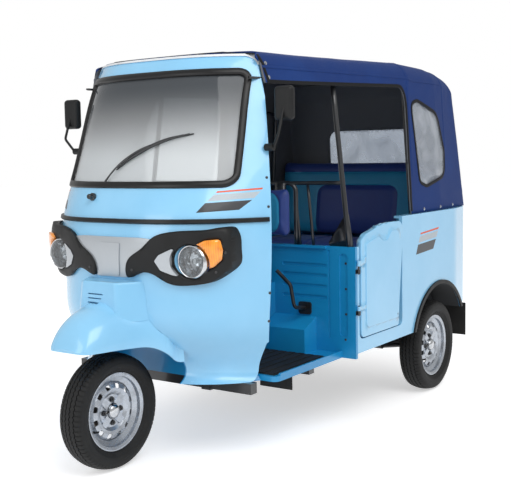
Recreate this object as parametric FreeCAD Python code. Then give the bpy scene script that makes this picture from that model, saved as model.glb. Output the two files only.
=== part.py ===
import FreeCAD, Part
import math
import os

# Three-wheeled passenger auto rickshaw, millimetres.
# X runs forward, Y to the vehicle's left, Z up; the floor is Z = 0.

V = FreeCAD.Vector
os.makedirs("parts", exist_ok=True)

# Overall layout
OVERALL_LENGTH = 2700.0
WHEELBASE = 1920.0
FENDER_REACH = 244.0
REAR_TRACK = 1160.0
BODY_WIDTH = 1310.0
BODY_TOP = 992.0
PARTITION_SETBACK = 970.0
RUN_GAP = 6.0
SEAT_GAP = 0.3

# Cab shell
CAB_BOTTOM = 352.0
CAB_TOP = 1732.0
CAB_WALL = 16.0
CAB_FULLNESS = 3.0
# Height, set-back of the nose, set-back of the door edge, half width at the door edge
CAB_STATIONS = [
    (340.0, 117.0, 406.0, 534.0),
    (560.0, 85.0, 392.0, 557.0),
    (740.0, 52.0, 380.0, 577.0),
    (900.0, 42.0, 380.0, 585.0),
    (1040.0, 52.0, 383.0, 585.0),
    (1200.0, 125.0, 405.0, 567.0),
    (1420.0, 203.0, 445.0, 530.0),
    (1640.0, 280.0, 482.0, 487.0),
    (1700.0, 315.0, 495.0, 470.0),
    (1790.0, 430.0, 522.0, 436.0),
]
CAB_TOP_HALF = 452.0
CAB_TOP_RADIUS = 60.0
CAB_HEM_RADIUS = 50.0

# Windscreen
SCREEN_BOTTOM = 1200.0
SCREEN_TOP = 1668.0
SCREEN_HALF_LOW = 481.0
SCREEN_HALF_HIGH = 463.0
SCREEN_RADIUS = 52.0
GASKET_WIDTH = 28.0
GASKET_PROUD = 9.0
GASKET_LIP = 8.0
GLASS_THICK = 5.0
GLASS_DEPTH = 7.0

# Nose trim and lamps
STRIP_BOTTOM = 1040.0
STRIP_TOP = 1056.0
STRIP_PROUD = 12.0
BEZEL_PROUD = 16.0
BEZEL_DEPTH = 4.0
LAMP_RADIUS = 71.0
LAMP_Y = 375.0
LAMP_Z = 889.0
LAMP_PROUD = 30.0
LAMP_DEPTH = 40.0
WIPER_Y = -160.0
WIPER_Z = 1143.0
SPINDLE_RADIUS = 10.0

# Wheels
TYRE_RADIUS = 247.0
TYRE_WIDTH = 120.0
BEAD_RADIUS = 152.0
FLANGE_RADIUS = 166.0
RIM_WIDTH = 84.0
RIM_SHEET = 4.0
VENT_COUNT = 12
DRUM_RADIUS = 92.0
DRUM_WIDTH = 52.0
DRUM_FACE = 6.0
AXLE_RADIUS = 12.0
AXLE_FIT = 0.1
CAP_RADIUS = 30.0

# Steering
RAKE = 23.5
STEER_LIMIT = 38.0
COLUMN_RADIUS = 17.0
COLUMN_TOP = 858.0
HEAD_LOW = 420.0
HEAD_HIGH = 760.0
HEAD_RADIUS = 31.0
HEAD_FIT = 0.1
FORK_TUBE = 18.0
FORK_OFFSET = 118.0
LINK_REACH = 92.0
BAR_RADIUS = 11.0
BAR_HALF = 325.0
BAR_SWEEP = 70.0
BAR_HEIGHT = COLUMN_TOP + BAR_RADIUS + 3
GRIP_RADIUS = 16.0
GRIP_LENGTH = 115.0

# Front wheel well and fender
WELL_HALF = 236.0
WELL_BACK = 312.0
WELL_ROOF = 612.0
WELL_SHEET = 5.0
WELL_ROUND = 70.0
FENDER_SHEET = 4.0

# Floors and chassis
FLOOR_SHEET = 23.0
FLOOR_HALF = 580.0
MAT_THICK = 6.0
RAIL_Y = 262.0
RAIL_WIDTH = 50.0
RAIL_DEPTH = 54.0

# Passenger tub
TUB_WALL = 18.0
TUB_BOTTOM = 375.0
TUB_REAR_BOTTOM = 440.0
TUB_FLOOR_TOP = 398.0
TUB_REAR_FLOOR_TOP = 462.0
TUB_REAR_OFFSET = 20.0
TUB_CORNER = 110.0
TUB_RIM_DEPTH = 12.0
TUB_RIM_WIDTH = 46.0
PARTITION_SHEET = 18.0
PARTITION_TOP = 880.0
ARCH_RADIUS = 330.0
ARCH_CENTRE_Z = 262.0
ARCH_SHEET = 7.0
WHEELHOUSE_HALF = 495.0
TRIM_WIDTH = 20.0
TRIM_PROUD = 10.0

# Half doors
DOOR_FRONT = 44.0
DOOR_LENGTH = 440.0
DOOR_BOTTOM = 446.0
DOOR_TOP_FRONT = 880.0
DOOR_TOP_REAR = 974.0
DOOR_GAP = 6.0
DOOR_THICK = 26.0
DOOR_PROUD = 8.0
DOOR_LIMIT = 75.0
HINGE_PIN = 4.0
HINGE_BARREL = 8.0
HINGE_HEIGHTS = (580.0, 775.0)
HINGE_LENGTH = 40.0

# Canopy
CANOPY_SHEET = 7.0
CANOPY_TOP = 1780.0
TUBE_RADIUS = 11.0

# Derived places
FRONT_X = OVERALL_LENGTH / 2 - TYRE_RADIUS
REAR_X = FRONT_X - WHEELBASE
TAIL_X = -OVERALL_LENGTH / 2 + TUB_REAR_OFFSET
WALL_X = FRONT_X - PARTITION_SETBACK
TUB_X = WALL_X - PARTITION_SHEET
BODY_HALF = BODY_WIDTH / 2
WHEEL_Y = REAR_TRACK / 2
FLOOR_TOP = CAB_BOTTOM + FLOOR_SHEET
FAR = 2000.0


# Shape helpers
def box(x0, x1, y0, y1, z0, z1):
    return Part.makeBox(x1 - x0, y1 - y0, z1 - z0, V(x0, y0, z0))


def mirrored(shape):
    return shape.mirror(V(0, 0, 0), V(0, 1, 0))


def pair(shape):
    return [shape, mirrored(shape)]


def cylinder(base, direction, radius, length):
    return Part.makeCylinder(radius, length, base, direction)


def rod(start, end, radius):
    return Part.makeCylinder(radius, (end - start).Length, start, end - start)


def round_outline(points, radii):
    """Closed wire through the corners, each one an arc of its radius."""
    if not isinstance(radii, (list, tuple)):
        radii = [radii] * len(points)
    edges = []
    first = None
    last = None
    for index, corner in enumerate(points):
        back = (points[index - 1] - corner).normalize()
        ahead = (points[(index + 1) % len(points)] - corner).normalize()
        radius = radii[index]
        half = back.getAngle(ahead) / 2
        if radius > 0 and half < math.pi / 2 - 0.01:
            cut = radius / math.tan(half)
            start = corner + back * cut
            end = corner + ahead * cut
            inner = (back + ahead).normalize()
            middle = corner + inner * (radius / math.sin(half) - radius)
        else:
            start = corner
            end = corner
            middle = None
        if last is not None and (start - last).Length > 0.01:
            edges.append(Part.makeLine(last, start))
        if middle is not None:
            edges.append(Part.Arc(start, middle, end).toShape())
        if first is None:
            first = start
        last = end
    if (first - last).Length > 0.01:
        edges.append(Part.makeLine(last, first))
    return Part.Wire(edges)


def plate_x(outline, x0, x1, radii=0.0):
    """Plate with a front-view outline of (y, z) corners."""
    wire = round_outline([V(x0, y, z) for y, z in outline], radii)
    return Part.Face(wire).extrude(V(x1 - x0, 0, 0))


def plate_y(outline, y0, y1, radii=0.0):
    """Plate with a side-view outline of (x, z) corners."""
    wire = round_outline([V(x, y0, z) for x, z in outline], radii)
    return Part.Face(wire).extrude(V(0, y1 - y0, 0))


def plate_z(outline, z0, z1, radii=0.0):
    """Plate with a plan outline of (x, y) corners."""
    wire = round_outline([V(x, y, z0) for x, y in outline], radii)
    return Part.Face(wire).extrude(V(0, 0, z1 - z0))


def curve_plate_x(outline, x0, x1):
    """Plate with a smooth closed front-view outline through (y, z) points."""
    curve = Part.BSplineCurve()
    curve.interpolate([V(x0, y, z) for y, z in outline], PeriodicFlag=True)
    return Part.Face(Part.Wire(curve.toShape())).extrude(V(x1 - x0, 0, 0))


def turned_y(profile, centre):
    """Solid of revolution about the Y line through the centre, from (radius, y) corners."""
    points = [centre + V(0, y, radius) for radius, y in profile]
    face = Part.Face(Part.makePolygon(points + [points[0]]))
    return face.revolve(centre, V(0, 1, 0), 360)


def turned(profile, base, direction):
    """Solid of revolution from (radius, height) corners about a line."""
    points = [V(radius, 0, height) for radius, height in profile]
    face = Part.Face(Part.makePolygon(points + [points[0]]))
    solid = face.revolve(V(0, 0, 0), V(0, 0, 1), 360)
    solid.Placement = FreeCAD.Placement(base, FreeCAD.Rotation(V(0, 0, 1), direction))
    return solid


def bent_rod(points, radius, bend):
    """Round rod along straight runs joined by bends."""
    edges = []
    last = points[0]
    for index in range(1, len(points) - 1):
        corner = points[index]
        back = (points[index - 1] - corner).normalize()
        ahead = (points[index + 1] - corner).normalize()
        half = back.getAngle(ahead) / 2
        cut = bend / math.tan(half)
        start = corner + back * cut
        end = corner + ahead * cut
        inner = (back + ahead).normalize()
        middle = corner + inner * (bend / math.sin(half) - bend)
        edges.append(Part.makeLine(last, start))
        edges.append(Part.Arc(start, middle, end).toShape())
        last = end
    edges.append(Part.makeLine(last, points[-1]))
    path = Part.Wire(edges)
    circle = Part.makeCircle(radius, points[0], points[1] - points[0])
    return path.makePipeShell([Part.Wire(circle)], True, False)


def joined(shapes):
    solid = shapes[0]
    if len(shapes) > 1:
        solid = shapes[0].fuse(shapes[1:])
    return solid.removeSplitter()


def save(name, shapes):
    """Write one node, from one shape or from like pieces that do not touch."""
    if isinstance(shapes, list):
        shape = Part.makeCompound([s for item in shapes for s in item.Solids])
    else:
        shape = Part.makeCompound(shapes.Solids)
    shape.exportStep("parts/" + name + ".step")


# Cab shell surfaces
def cab_plan(station, offset, tail):
    """Plan curve of the cab at one height, moved outward by the offset."""
    height, nose, edge, half = station
    points = []
    steps = 12
    for step in range(steps + 1):
        side = 2.0 * step / steps - 1.0
        depth = edge - nose
        x = FRONT_X - nose - depth * abs(side) ** CAB_FULLNESS
        slope = CAB_FULLNESS * depth * abs(side) ** (CAB_FULLNESS - 1.0)
        slope = math.copysign(slope, side)
        normal = V(half, slope, 0).normalize()
        points.append(V(x, half * side, height) + normal * offset)
    curve = Part.BSplineCurve()
    curve.interpolate(points)
    back = FRONT_X - edge - tail
    right = V(back, points[0].y, height)
    left = V(back, points[-1].y, height)
    if tail == 0:
        right = V(back, points[0].y, height)
    edges = [curve.toShape()]
    if (points[-1] - left).Length > 0.01:
        edges.append(Part.makeLine(points[-1], left))
    edges.append(Part.makeLine(left, right))
    if (points[0] - right).Length > 0.01:
        edges.append(Part.makeLine(right, points[0]))
    return Part.Wire(edges)


def cab_solid(offset, tail):
    wires = [cab_plan(station, offset, tail) for station in CAB_STATIONS]
    return Part.makeLoft(wires, True, False)


def cab_x(y, z):
    """Place of the cab's outer skin at one height and side distance."""
    low = CAB_STATIONS[0]
    high = CAB_STATIONS[-1]
    for first, second in zip(CAB_STATIONS, CAB_STATIONS[1:]):
        if first[0] <= z <= second[0]:
            low = first
            high = second
    share = (z - low[0]) / (high[0] - low[0])
    nose, edge, half = [a + (b - a) * share for a, b in zip(low[1:], high[1:])]
    return FRONT_X - nose - (edge - nose) * (abs(y) / half) ** CAB_FULLNESS


def cab_edge(z):
    """Set-back of the cab's rear edge at one height."""
    for first, second in zip(CAB_STATIONS, CAB_STATIONS[1:]):
        if first[0] <= z <= second[0]:
            share = (z - first[0]) / (second[0] - first[0])
            return first[2] + (second[2] - first[2]) * share
    return CAB_STATIONS[0][2]


CAB_TAIL = 40.0
CAB_BODY = cab_solid(0.0, 0.0)
CAB_INNER = cab_solid(-CAB_WALL, CAB_TAIL * 2)


def cab_layer(inner, outer, prism):
    """Piece between two depths of the cab's skin, inside a front-view prism."""
    raised = cab_solid(outer, 0.0).common(prism)
    return raised.cut(cab_solid(inner, CAB_TAIL * 2))


def cab_front_outline(grow):
    half = CAB_TOP_HALF + grow
    top = CAB_TOP + grow
    wide = 640.0 + grow
    return [(-wide, CAB_BOTTOM), (wide, CAB_BOTTOM), (wide, 1120.0), (half, top), (-half, top), (-wide, 1120.0)]


def cab_front_prism(grow):
    radius = CAB_TOP_RADIUS + grow
    return plate_x(cab_front_outline(grow), WALL_X, FRONT_X + 200, [0, 0, 0, radius, radius, 0])


def screen_prism(grow):
    low = SCREEN_HALF_LOW + GASKET_WIDTH * 0.5 + grow
    high = SCREEN_HALF_HIGH + grow
    bottom = SCREEN_BOTTOM - GASKET_WIDTH * 0.5 - grow
    top = SCREEN_TOP + GASKET_WIDTH * 0.5 + grow
    outline = [(-low, bottom), (low, bottom), (high, top), (-high, top)]
    radius = SCREEN_RADIUS + grow
    return plate_x(outline, WALL_X, FRONT_X + 200, radius)


def well_profile(grow):
    """Side-view outline of the front wheel's well."""
    back = FRONT_X - WELL_BACK - grow
    roof = WELL_ROOF + grow
    ahead = FRONT_X + 400
    low = CAB_BOTTOM - 60
    return [(ahead, low), (back, low), (back, 455.0), (FRONT_X - 190 - grow, roof), (ahead, roof)]


def well_solid(grow):
    half = WELL_HALF + grow
    roof = WELL_ROOF + grow
    side = plate_y(well_profile(grow), -half, half, [0, 0, 60.0, 70.0, 0])
    front = [(-half, 200.0), (half, 200.0), (half, roof), (-half, roof)]
    radius = WELL_ROUND + grow
    return side.common(plate_x(front, WALL_X, FRONT_X + 500, [0, 0, radius, radius]))


def make_cab_cowl():
    shell = CAB_BODY.common(cab_front_prism(0.0))
    shell = shell.cut(CAB_INNER)
    hem = [
        (FRONT_X + 300, CAB_BOTTOM),
        (FRONT_X - 404, CAB_BOTTOM),
        (FRONT_X - 397, 520.0),
        (WALL_X, 1000.0),
        (WALL_X, 1800.0),
        (FRONT_X + 300, 1800.0),
    ]
    shell = shell.common(plate_y(hem, -700, 700, [0, CAB_HEM_RADIUS, 0, 0, 0, 0]))
    shell = shell.cut(screen_prism(-GASKET_WIDTH / 2))
    spindle = wiper_spindle()
    holes = pair(lamp_hole(LAMP_RADIUS + SEAT_GAP))
    holes.append(cylinder(spindle - V(60, 0, 0), V(1, 0, 0), SPINDLE_RADIUS + SEAT_GAP, 120.0))
    shell = shell.cut(holes)
    return shell.cut(well_solid(WELL_SHEET))


def make_windscreen():
    """Pane and the rubber gasket round its edge, in the cowl's opening."""
    cut_edge = screen_prism(-GASKET_WIDTH / 2)
    pane_edge = screen_prism(-GASKET_WIDTH / 2 - GASKET_LIP)
    glass = cab_layer(-GLASS_DEPTH - GLASS_THICK, -GLASS_DEPTH, pane_edge)
    throat = cab_layer(-CAB_WALL, GASKET_PROUD, cut_edge.cut(pane_edge))
    flange = cab_layer(SEAT_GAP, GASKET_PROUD, screen_prism(GASKET_WIDTH / 2).cut(cut_edge))
    save("windscreen_glass", glass)
    save("windscreen_gasket", throat.fuse(flange))


def make_waist_strip():
    band = box(WALL_X, FRONT_X + 200, -700, 700, STRIP_BOTTOM, STRIP_TOP)
    save("waist_strip", cab_layer(SEAT_GAP, STRIP_PROUD, band))


# Outline of the left lamp bezel seen from the front
BEZEL_OUTLINE = [
    (502.0, 1017.0), (514.0, 985.0), (516.0, 930.0), (508.0, 868.0), (480.0, 835.0),
    (438.0, 804.0), (380.0, 792.0), (306.0, 792.0), (268.0, 806.0), (226.0, 832.0),
    (160.0, 838.0), (92.0, 820.0), (90.0, 868.0), (118.0, 906.0), (178.0, 944.0),
    (224.0, 986.0), (272.0, 1005.0), (370.0, 1014.0), (450.0, 1021.0),
]
# Outline of the amber indicator beside the lamp
AMBER_OUTLINE = [
    (404.0, 958.0), (440.0, 976.0), (486.0, 980.0), (494.0, 936.0),
    (488.0, 897.0), (460.0, 868.0), (424.0, 852.0),
]
# Outline of the silver insert on the lamp's inner side
INSERT_OUTLINE = [
    (232.0, 890.0), (252.0, 915.0), (322.0, 949.0), (306.0, 915.0),
    (303.0, 868.0), (340.0, 826.0), (300.0, 834.0), (256.0, 852.0),
]


def lamp_centre(depth):
    return V(cab_x(LAMP_Y, LAMP_Z) + depth, LAMP_Y, LAMP_Z)


def lamp_hole(radius):
    return cylinder(lamp_centre(-90.0), V(1, 0, 0), radius, 300.0)


def make_front_lamps():
    bezel_prism = curve_plate_x(BEZEL_OUTLINE, FRONT_X - 400, FRONT_X + 100)
    amber_prism = plate_x(AMBER_OUTLINE, FRONT_X - 400, FRONT_X + 100, 12.0)
    insert_prism = plate_x(INSERT_OUTLINE, FRONT_X - 400, FRONT_X + 100, 8.0)
    bezel = cab_layer(SEAT_GAP, BEZEL_PROUD, bezel_prism)
    recess = cab_layer(BEZEL_DEPTH, BEZEL_PROUD + 5, amber_prism.fuse(insert_prism))
    bezel = bezel.cut(recess).cut(lamp_hole(LAMP_RADIUS + SEAT_GAP))
    amber = cab_layer(BEZEL_DEPTH, BEZEL_PROUD + 4, amber_prism).cut(lamp_hole(LAMP_RADIUS + 8))
    insert = cab_layer(BEZEL_DEPTH, BEZEL_PROUD + 2, insert_prism).cut(lamp_hole(LAMP_RADIUS + 8))
    ring = [
        (0.0, -LAMP_DEPTH), (LAMP_RADIUS - 24, -LAMP_DEPTH), (LAMP_RADIUS, -4.0), (LAMP_RADIUS, 18.0),
        (LAMP_RADIUS - 8, LAMP_PROUD - 2), (LAMP_RADIUS - 26, LAMP_PROUD + 5), (0.0, LAMP_PROUD + 9),
    ]
    lamp = turned(ring, lamp_centre(0.0), V(1, 0, 0))
    save("lamp_bezels", pair(bezel))
    save("indicators", pair(amber))
    save("headlamps", pair(lamp))
    return pair(insert)


def make_nose():
    """Lamps, and the silver panel between their bezels with its raised tapered centre."""
    inserts = make_front_lamps()
    bezel = curve_plate_x(BEZEL_OUTLINE, FRONT_X - 400, FRONT_X + 100)
    outline = [(-84.0, 815.0), (84.0, 815.0), (100.0, 872.0), (226.0, 978.0), (150.0, 984.0),
               (-150.0, 984.0), (-226.0, 978.0), (-100.0, 872.0)]
    field = plate_x(outline, FRONT_X - 400, FRONT_X + 100, [10, 10, 20, 4, 30, 30, 4, 20])
    field = field.cut([bezel, mirrored(bezel)])
    centre = plate_x([(-44, 818), (44, 818), (58, 960), (-58, 960)], FRONT_X - 400, FRONT_X + 100, 8.0)
    trim = cab_layer(SEAT_GAP, 8.0, field).fuse(cab_layer(SEAT_GAP, 13.0, centre))
    trim = trim.cut(inserts)
    save("grille_trim", [max(trim.Solids, key=lambda solid: solid.Volume)] + inserts)


def header_cap():
    """Pale strip that caps the top of the cab under the canopy's front edge."""
    cap = cab_solid(5.0, 0.0).common(cab_front_prism(10.0))
    cap = cap.common(box(WALL_X, FRONT_X, -700, 700, CAB_TOP - 38, CAB_TOP + 12))
    return cap.cut(cab_front_prism(0.0))


def make_header_strip():
    save("header_strip", header_cap())


def wiper_spindle():
    return V(cab_x(WIPER_Y, WIPER_Z), WIPER_Y, WIPER_Z)


def make_wiper():
    """Arm on its spindle, with the blade lying along the glass."""
    spindle = wiper_spindle()
    elbow = V(cab_x(20.0, 1318.0) + 26, 10.0, 1318.0)
    inner_tip = V(cab_x(40.0, 1279.0) + 14, -38.0, 1278.0)
    mid = V(cab_x(130.0, 1364.0) + 16, 130.0, 1362.0)
    outer_tip = V(cab_x(290.0, 1404.0) + 14, 290.0, 1404.0)
    post = rod(spindle - V(20, 0, 0), spindle + V(26, 0, 0), SPINDLE_RADIUS)
    shoulder = spindle + V(20, 0, 0)
    arm = bent_rod([shoulder, spindle + V(10, 60, 75), elbow, mid], 5.0, 60.0)
    blade = bent_rod([inner_tip, mid - V(6, 0, 0), outer_tip], 5.5, 90.0)
    save("wiper", joined([post, arm, blade]))



# Front fender, with its sections given as set-forward of the front axle,
# half width, lower edge height and crown height
FENDER_SECTIONS = [
    (-170.0, 276.0, 455.0, 775.0),
    (-110.0, 252.0, 487.0, 768.0),
    (-78.0, 222.0, 516.0, 760.0),
    (-38.0, 186.0, 531.0, 748.0),
    (0.0, 166.0, 533.0, 735.0),
    (45.0, 151.0, 534.0, 719.0),
    (100.0, 140.0, 536.0, 701.0),
    (150.0, 130.0, 537.0, 680.0),
    (198.0, 116.0, 537.0, 640.0),
    (230.0, 96.0, 538.0, 587.0),
]
FENDER_NOSE = (62.0, 540.0, 554.0)


def fender_loft(skin, drop):
    """Arched body of the fender, moved inward by the skin and down by the drop."""
    wires = []
    nose = (FENDER_REACH - skin,) + FENDER_NOSE
    for forward, half, low, crown in FENDER_SECTIONS + [nose]:
        x = FRONT_X + forward
        low = low - drop
        points = []
        for step in range(11):
            angle = math.pi * step / 10
            y = (half - skin) * math.copysign(abs(math.cos(angle)) ** 0.92, math.cos(angle))
            z = low + (crown - skin - low) * math.sin(angle) ** 0.92
            points.append(V(x, y, z))
        curve = Part.BSplineCurve()
        curve.interpolate(points)
        wires.append(Part.Wire([curve.toShape(), Part.makeLine(points[-1], points[0])]))
    return Part.makeLoft(wires, True, False)


BUMP_TOP = 802.0
BUMP_FRONT = 48.0
BUMP_HALF = 98.0
BUMP_FLARE = 0.62
BUMP_BASE = 640.0


def fender_bump(skin, drop):
    """Raised nose block whose sides flare back to the cowl."""
    wires = []
    for z, front, half in ((BUMP_BASE - drop, BUMP_FRONT + 6, BUMP_HALF + 14), (BUMP_TOP - skin, BUMP_FRONT - 6, BUMP_HALF)):
        back = -150.0
        wide = half + (front - back) * BUMP_FLARE
        x0 = FRONT_X + back
        x1 = FRONT_X + front - skin
        outline = [(x0, -wide + skin), (x1, -half + skin), (x1, half - skin), (x0, wide - skin)]
        wires.append(round_outline([V(x, y, z) for x, y in outline], [0, 34.0 - skin, 34.0 - skin, 0]))
    return Part.makeLoft(wires, True, True)


def make_front_fender():
    bump = fender_bump(0.0, 0.0)
    top_edges = [e for e in bump.Edges if e.BoundBox.ZMin > BUMP_TOP - 1 and e.BoundBox.XMax > FRONT_X - 100]
    bump = bump.makeFillet(9.0, top_edges)
    hollow = fender_loft(FENDER_SHEET, 40.0).fuse(fender_bump(FENDER_SHEET, 20.0))
    fender = fender_loft(0.0, 0.0).fuse(bump).cut(hollow)
    fender = fender.cut(cab_solid(SEAT_GAP, CAB_TAIL * 2))
    for index, z in enumerate((750.0, 732.0, 714.0)):
        slot = box(FRONT_X, FRONT_X + 80, -58.0, 26.0 - 8 * index, z - 2.5, z + 2.5)
        fender = fender.cut(slot)
    keep = max(fender.Solids, key=lambda solid: solid.Volume)
    save("front_fender", keep)


# Steering axis and what turns about it
WHEEL_CENTRE = V(FRONT_X, 0, TYRE_RADIUS)
STEER_AXIS = V(-math.sin(math.radians(RAKE)), 0, math.cos(math.radians(RAKE)))


def raked(shape):
    """Turn a piece drawn on an upright column at the wheel centre to the rake."""
    moved = shape.copy()
    moved.rotate(WHEEL_CENTRE, V(0, 1, 0), -RAKE)
    return moved


def at_column(x, y, z):
    return WHEEL_CENTRE + V(x, y, z)


def make_well_liner():
    liner = well_solid(WELL_SHEET).cut(well_solid(0.0)).common(CAB_BODY)
    liner = liner.cut(box(WALL_X, FRONT_X + 500, -700, 700, 200, CAB_BOTTOM))
    hole = raked(cylinder(at_column(0, 0, 300), V(0, 0, 1), COLUMN_RADIUS + RUN_GAP, 300))
    save("wheel_well", liner.cut(hole))


def spring(base, direction, length, radius, coils):
    """Coil spring drawn as one turned body with a rib for each coil."""
    pitch = length / coils
    profile = [(0.0, 0.0)]
    for coil in range(coils):
        low = coil * pitch
        profile.append((radius * 0.78, low))
        profile.append((radius, low + pitch * 0.35))
        profile.append((radius, low + pitch * 0.65))
    profile.append((radius * 0.78, length))
    profile.append((0.0, length))
    return turned(profile, base, direction)


def make_steering():
    column = cylinder(at_column(0, 0, 330), V(0, 0, 1), COLUMN_RADIUS, COLUMN_TOP - 330)
    arm_path = [
        at_column(0, 0, 350),
        at_column(0, 0, 300),
        at_column(18, -FORK_OFFSET, 272),
        at_column(LINK_REACH - 14, -FORK_OFFSET, 70),
        at_column(LINK_REACH, -FORK_OFFSET, 0),
    ]
    arm = bent_rod(arm_path, FORK_TUBE, 26.0)
    eye = cylinder(at_column(LINK_REACH, -FORK_OFFSET - 22, 0), V(0, 1, 0), 26.0, 60.0)
    link_outline = [
        (FRONT_X + LINK_REACH + 20, TYRE_RADIUS - 22),
        (FRONT_X + LINK_REACH + 20, TYRE_RADIUS + 22),
        (FRONT_X - 66, TYRE_RADIUS + 26),
        (FRONT_X - 66, TYRE_RADIUS - 26),
    ]
    link = plate_y(link_outline, -FORK_OFFSET + 18, -FORK_OFFSET + 38, [21, 21, 24, 24])
    axle = cylinder(at_column(0, -FORK_OFFSET + 20, 0), V(0, 1, 0), AXLE_RADIUS, FORK_OFFSET - 16)
    collar = cylinder(at_column(0, -FORK_OFFSET + 36, 0), V(0, 1, 0), 26.0, 24.0)
    plate = turned_y([(0, -DRUM_WIDTH - 4), (DRUM_RADIUS - 4, -DRUM_WIDTH - 4), (DRUM_RADIUS - 4, -DRUM_WIDTH), (0, -DRUM_WIDTH)], WHEEL_CENTRE)
    lug = rod(at_column(-46, -FORK_OFFSET + 20, 4), at_column(-46, -FORK_OFFSET - 12, 4), 9.0)
    crown_lug = rod(at_column(14, -FORK_OFFSET + 6, 262), at_column(-46, -FORK_OFFSET - 2, 262), 12.0)
    fork = joined([raked(s) for s in (column, arm, eye, crown_lug, link, lug, axle, collar, plate)])
    save("steering_fork", fork)
    low = at_column(-46, -FORK_OFFSET - 4, 4)
    high = at_column(-34, -FORK_OFFSET - 2, 262)
    way = (high - low).normalize()
    span = (high - low).Length
    coil = spring(low + way * 36, way, span - 72, 24.0, 7)
    damper = cylinder(low, way, 9.0, span)
    shock = joined([raked(coil), raked(damper)]).cut(fork)
    save("front_shock", max(shock.Solids, key=lambda solid: solid.Volume))
    bar_points = [
        at_column(-BAR_SWEEP, -BAR_HALF, BAR_HEIGHT - 3),
        at_column(0, -130.0, BAR_HEIGHT),
        at_column(0, 130.0, BAR_HEIGHT),
        at_column(-BAR_SWEEP, BAR_HALF, BAR_HEIGHT - 3),
    ]
    bar = bent_rod(bar_points, BAR_RADIUS, 60.0)
    clamp = cylinder(at_column(0, 0, COLUMN_TOP), V(0, 0, 1), 24.0, 30.0)
    grips = []
    for side in (-1, 1):
        tip = at_column(-BAR_SWEEP, side * BAR_HALF, BAR_HEIGHT - 3)
        inner = at_column(0, side * 130.0, BAR_HEIGHT)
        way = (inner - tip).normalize()
        grips.append(rod(tip - way * 4, tip + way * GRIP_LENGTH, GRIP_RADIUS))
    pod = Part.makeBox(104, 190, 74, at_column(-40, -95, COLUMN_TOP + 14))
    pod = pod.makeFillet(24.0, pod.Edges)
    bar = joined([bar, clamp])
    pod_body = pod.cut(bar)
    save("handlebar", raked(bar))
    save("handlebar_pod", raked(pod_body))
    save("handlebar_grips", [raked(g.cut(bar)) for g in grips])


def wheel_shapes(centre, outward):
    """Tyre, pressed rim and hub of one wheel, with its face on the outward side."""
    half = RIM_WIDTH / 2
    outer = [
        (FLANGE_RADIUS, half), (BEAD_RADIUS + 2, half - 5), (BEAD_RADIUS, half - 20), (130.0, 11.0),
        (130.0, -11.0), (BEAD_RADIUS, -half + 18), (BEAD_RADIUS + 2, -half + 5), (FLANGE_RADIUS, -half),
    ]
    inner = [(radius - RIM_SHEET, y) for radius, y in reversed(outer)]
    barrel = turned_y(outer + inner, V(0, 0, 0))
    face = [
        (126.5, 6.0), (116.0, 20.0), (100.0, 26.0), (84.0, 22.0), (70.0, 12.0), (34.0, 12.0),
        (34.0, 7.0), (68.0, 7.0), (82.0, 16.0), (100.0, 20.5), (113.0, 15.0), (126.5, -2.0),
    ]
    disc = turned_y(face, V(0, 0, 0))
    arms = []
    for turn in range(4):
        arm = plate_y([(-19, 20), (19, 20), (15, 86), (-15, 86)], 9.0, 19.0, [0, 0, 13.0, 13.0])
        arm.rotate(V(0, 0, 0), V(0, 1, 0), 45 + 90 * turn)
        arms.append(arm)
    hole = cylinder(V(0, -40, 0), V(0, 1, 0), 34.0, 90.0)
    rim = barrel.fuse([disc] + arms).cut(hole)
    vents = []
    for turn in range(VENT_COUNT):
        vent = plate_y([(-11, 97), (11, 97), (14, 117), (-14, 117)], 5.0, 40.0, 5.0)
        vent.rotate(V(0, 0, 0), V(0, 1, 0), 15 + 360.0 * turn / VENT_COUNT)
        vents.append(vent)
    rim = rim.cut(vents)
    seat = BEAD_RADIUS + 2 + SEAT_GAP
    wide = TYRE_WIDTH / 2
    bead = half - 6
    side = [
        (seat, bead), (FLANGE_RADIUS + 2, bead + 1), (FLANGE_RADIUS + 12, wide - 10),
        (TYRE_RADIUS - 46, wide), (TYRE_RADIUS - 24, wide - 2), (TYRE_RADIUS - 9, wide - 10),
        (TYRE_RADIUS - 3, wide - 26), (TYRE_RADIUS, wide - 44),
    ]
    section = side + [(radius, -y) for radius, y in reversed(side)]
    tyre = turned_y(section, V(0, 0, 0))
    bore = AXLE_RADIUS + AXLE_FIT
    hub_profile = [
        (bore, -DRUM_WIDTH + 6), (DRUM_RADIUS, -DRUM_WIDTH + 6), (DRUM_RADIUS, -8.0), (66.0, 7.0), (33.0, 7.0),
        (33.0, 14.0), (CAP_RADIUS, 24.0), (22.0, 33.0), (10.0, 38.0), (0.0, 39.0), (0.0, 9.0), (bore, 9.0),
    ]
    hub = turned_y(hub_profile, V(0, 0, 0))
    shapes = []
    for shape in (tyre, rim, hub):
        if outward < 0:
            shape = mirrored(shape)
        shape.translate(centre)
        shapes.append(shape)
    return shapes


# Rear running gear
UNIT_HALF = 140.0
UNIT_RADIUS = 82.0
SHAFT_RADIUS = 13.0
JOINT_RADIUS = 32.0
HOUSING_RADIUS = 40.0
ARM_PIVOT_FORWARD = 330.0
ARM_PIVOT_Z = 290.0
ARM_TUBE = 20.0
TOW_BORE = 12.0


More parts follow.
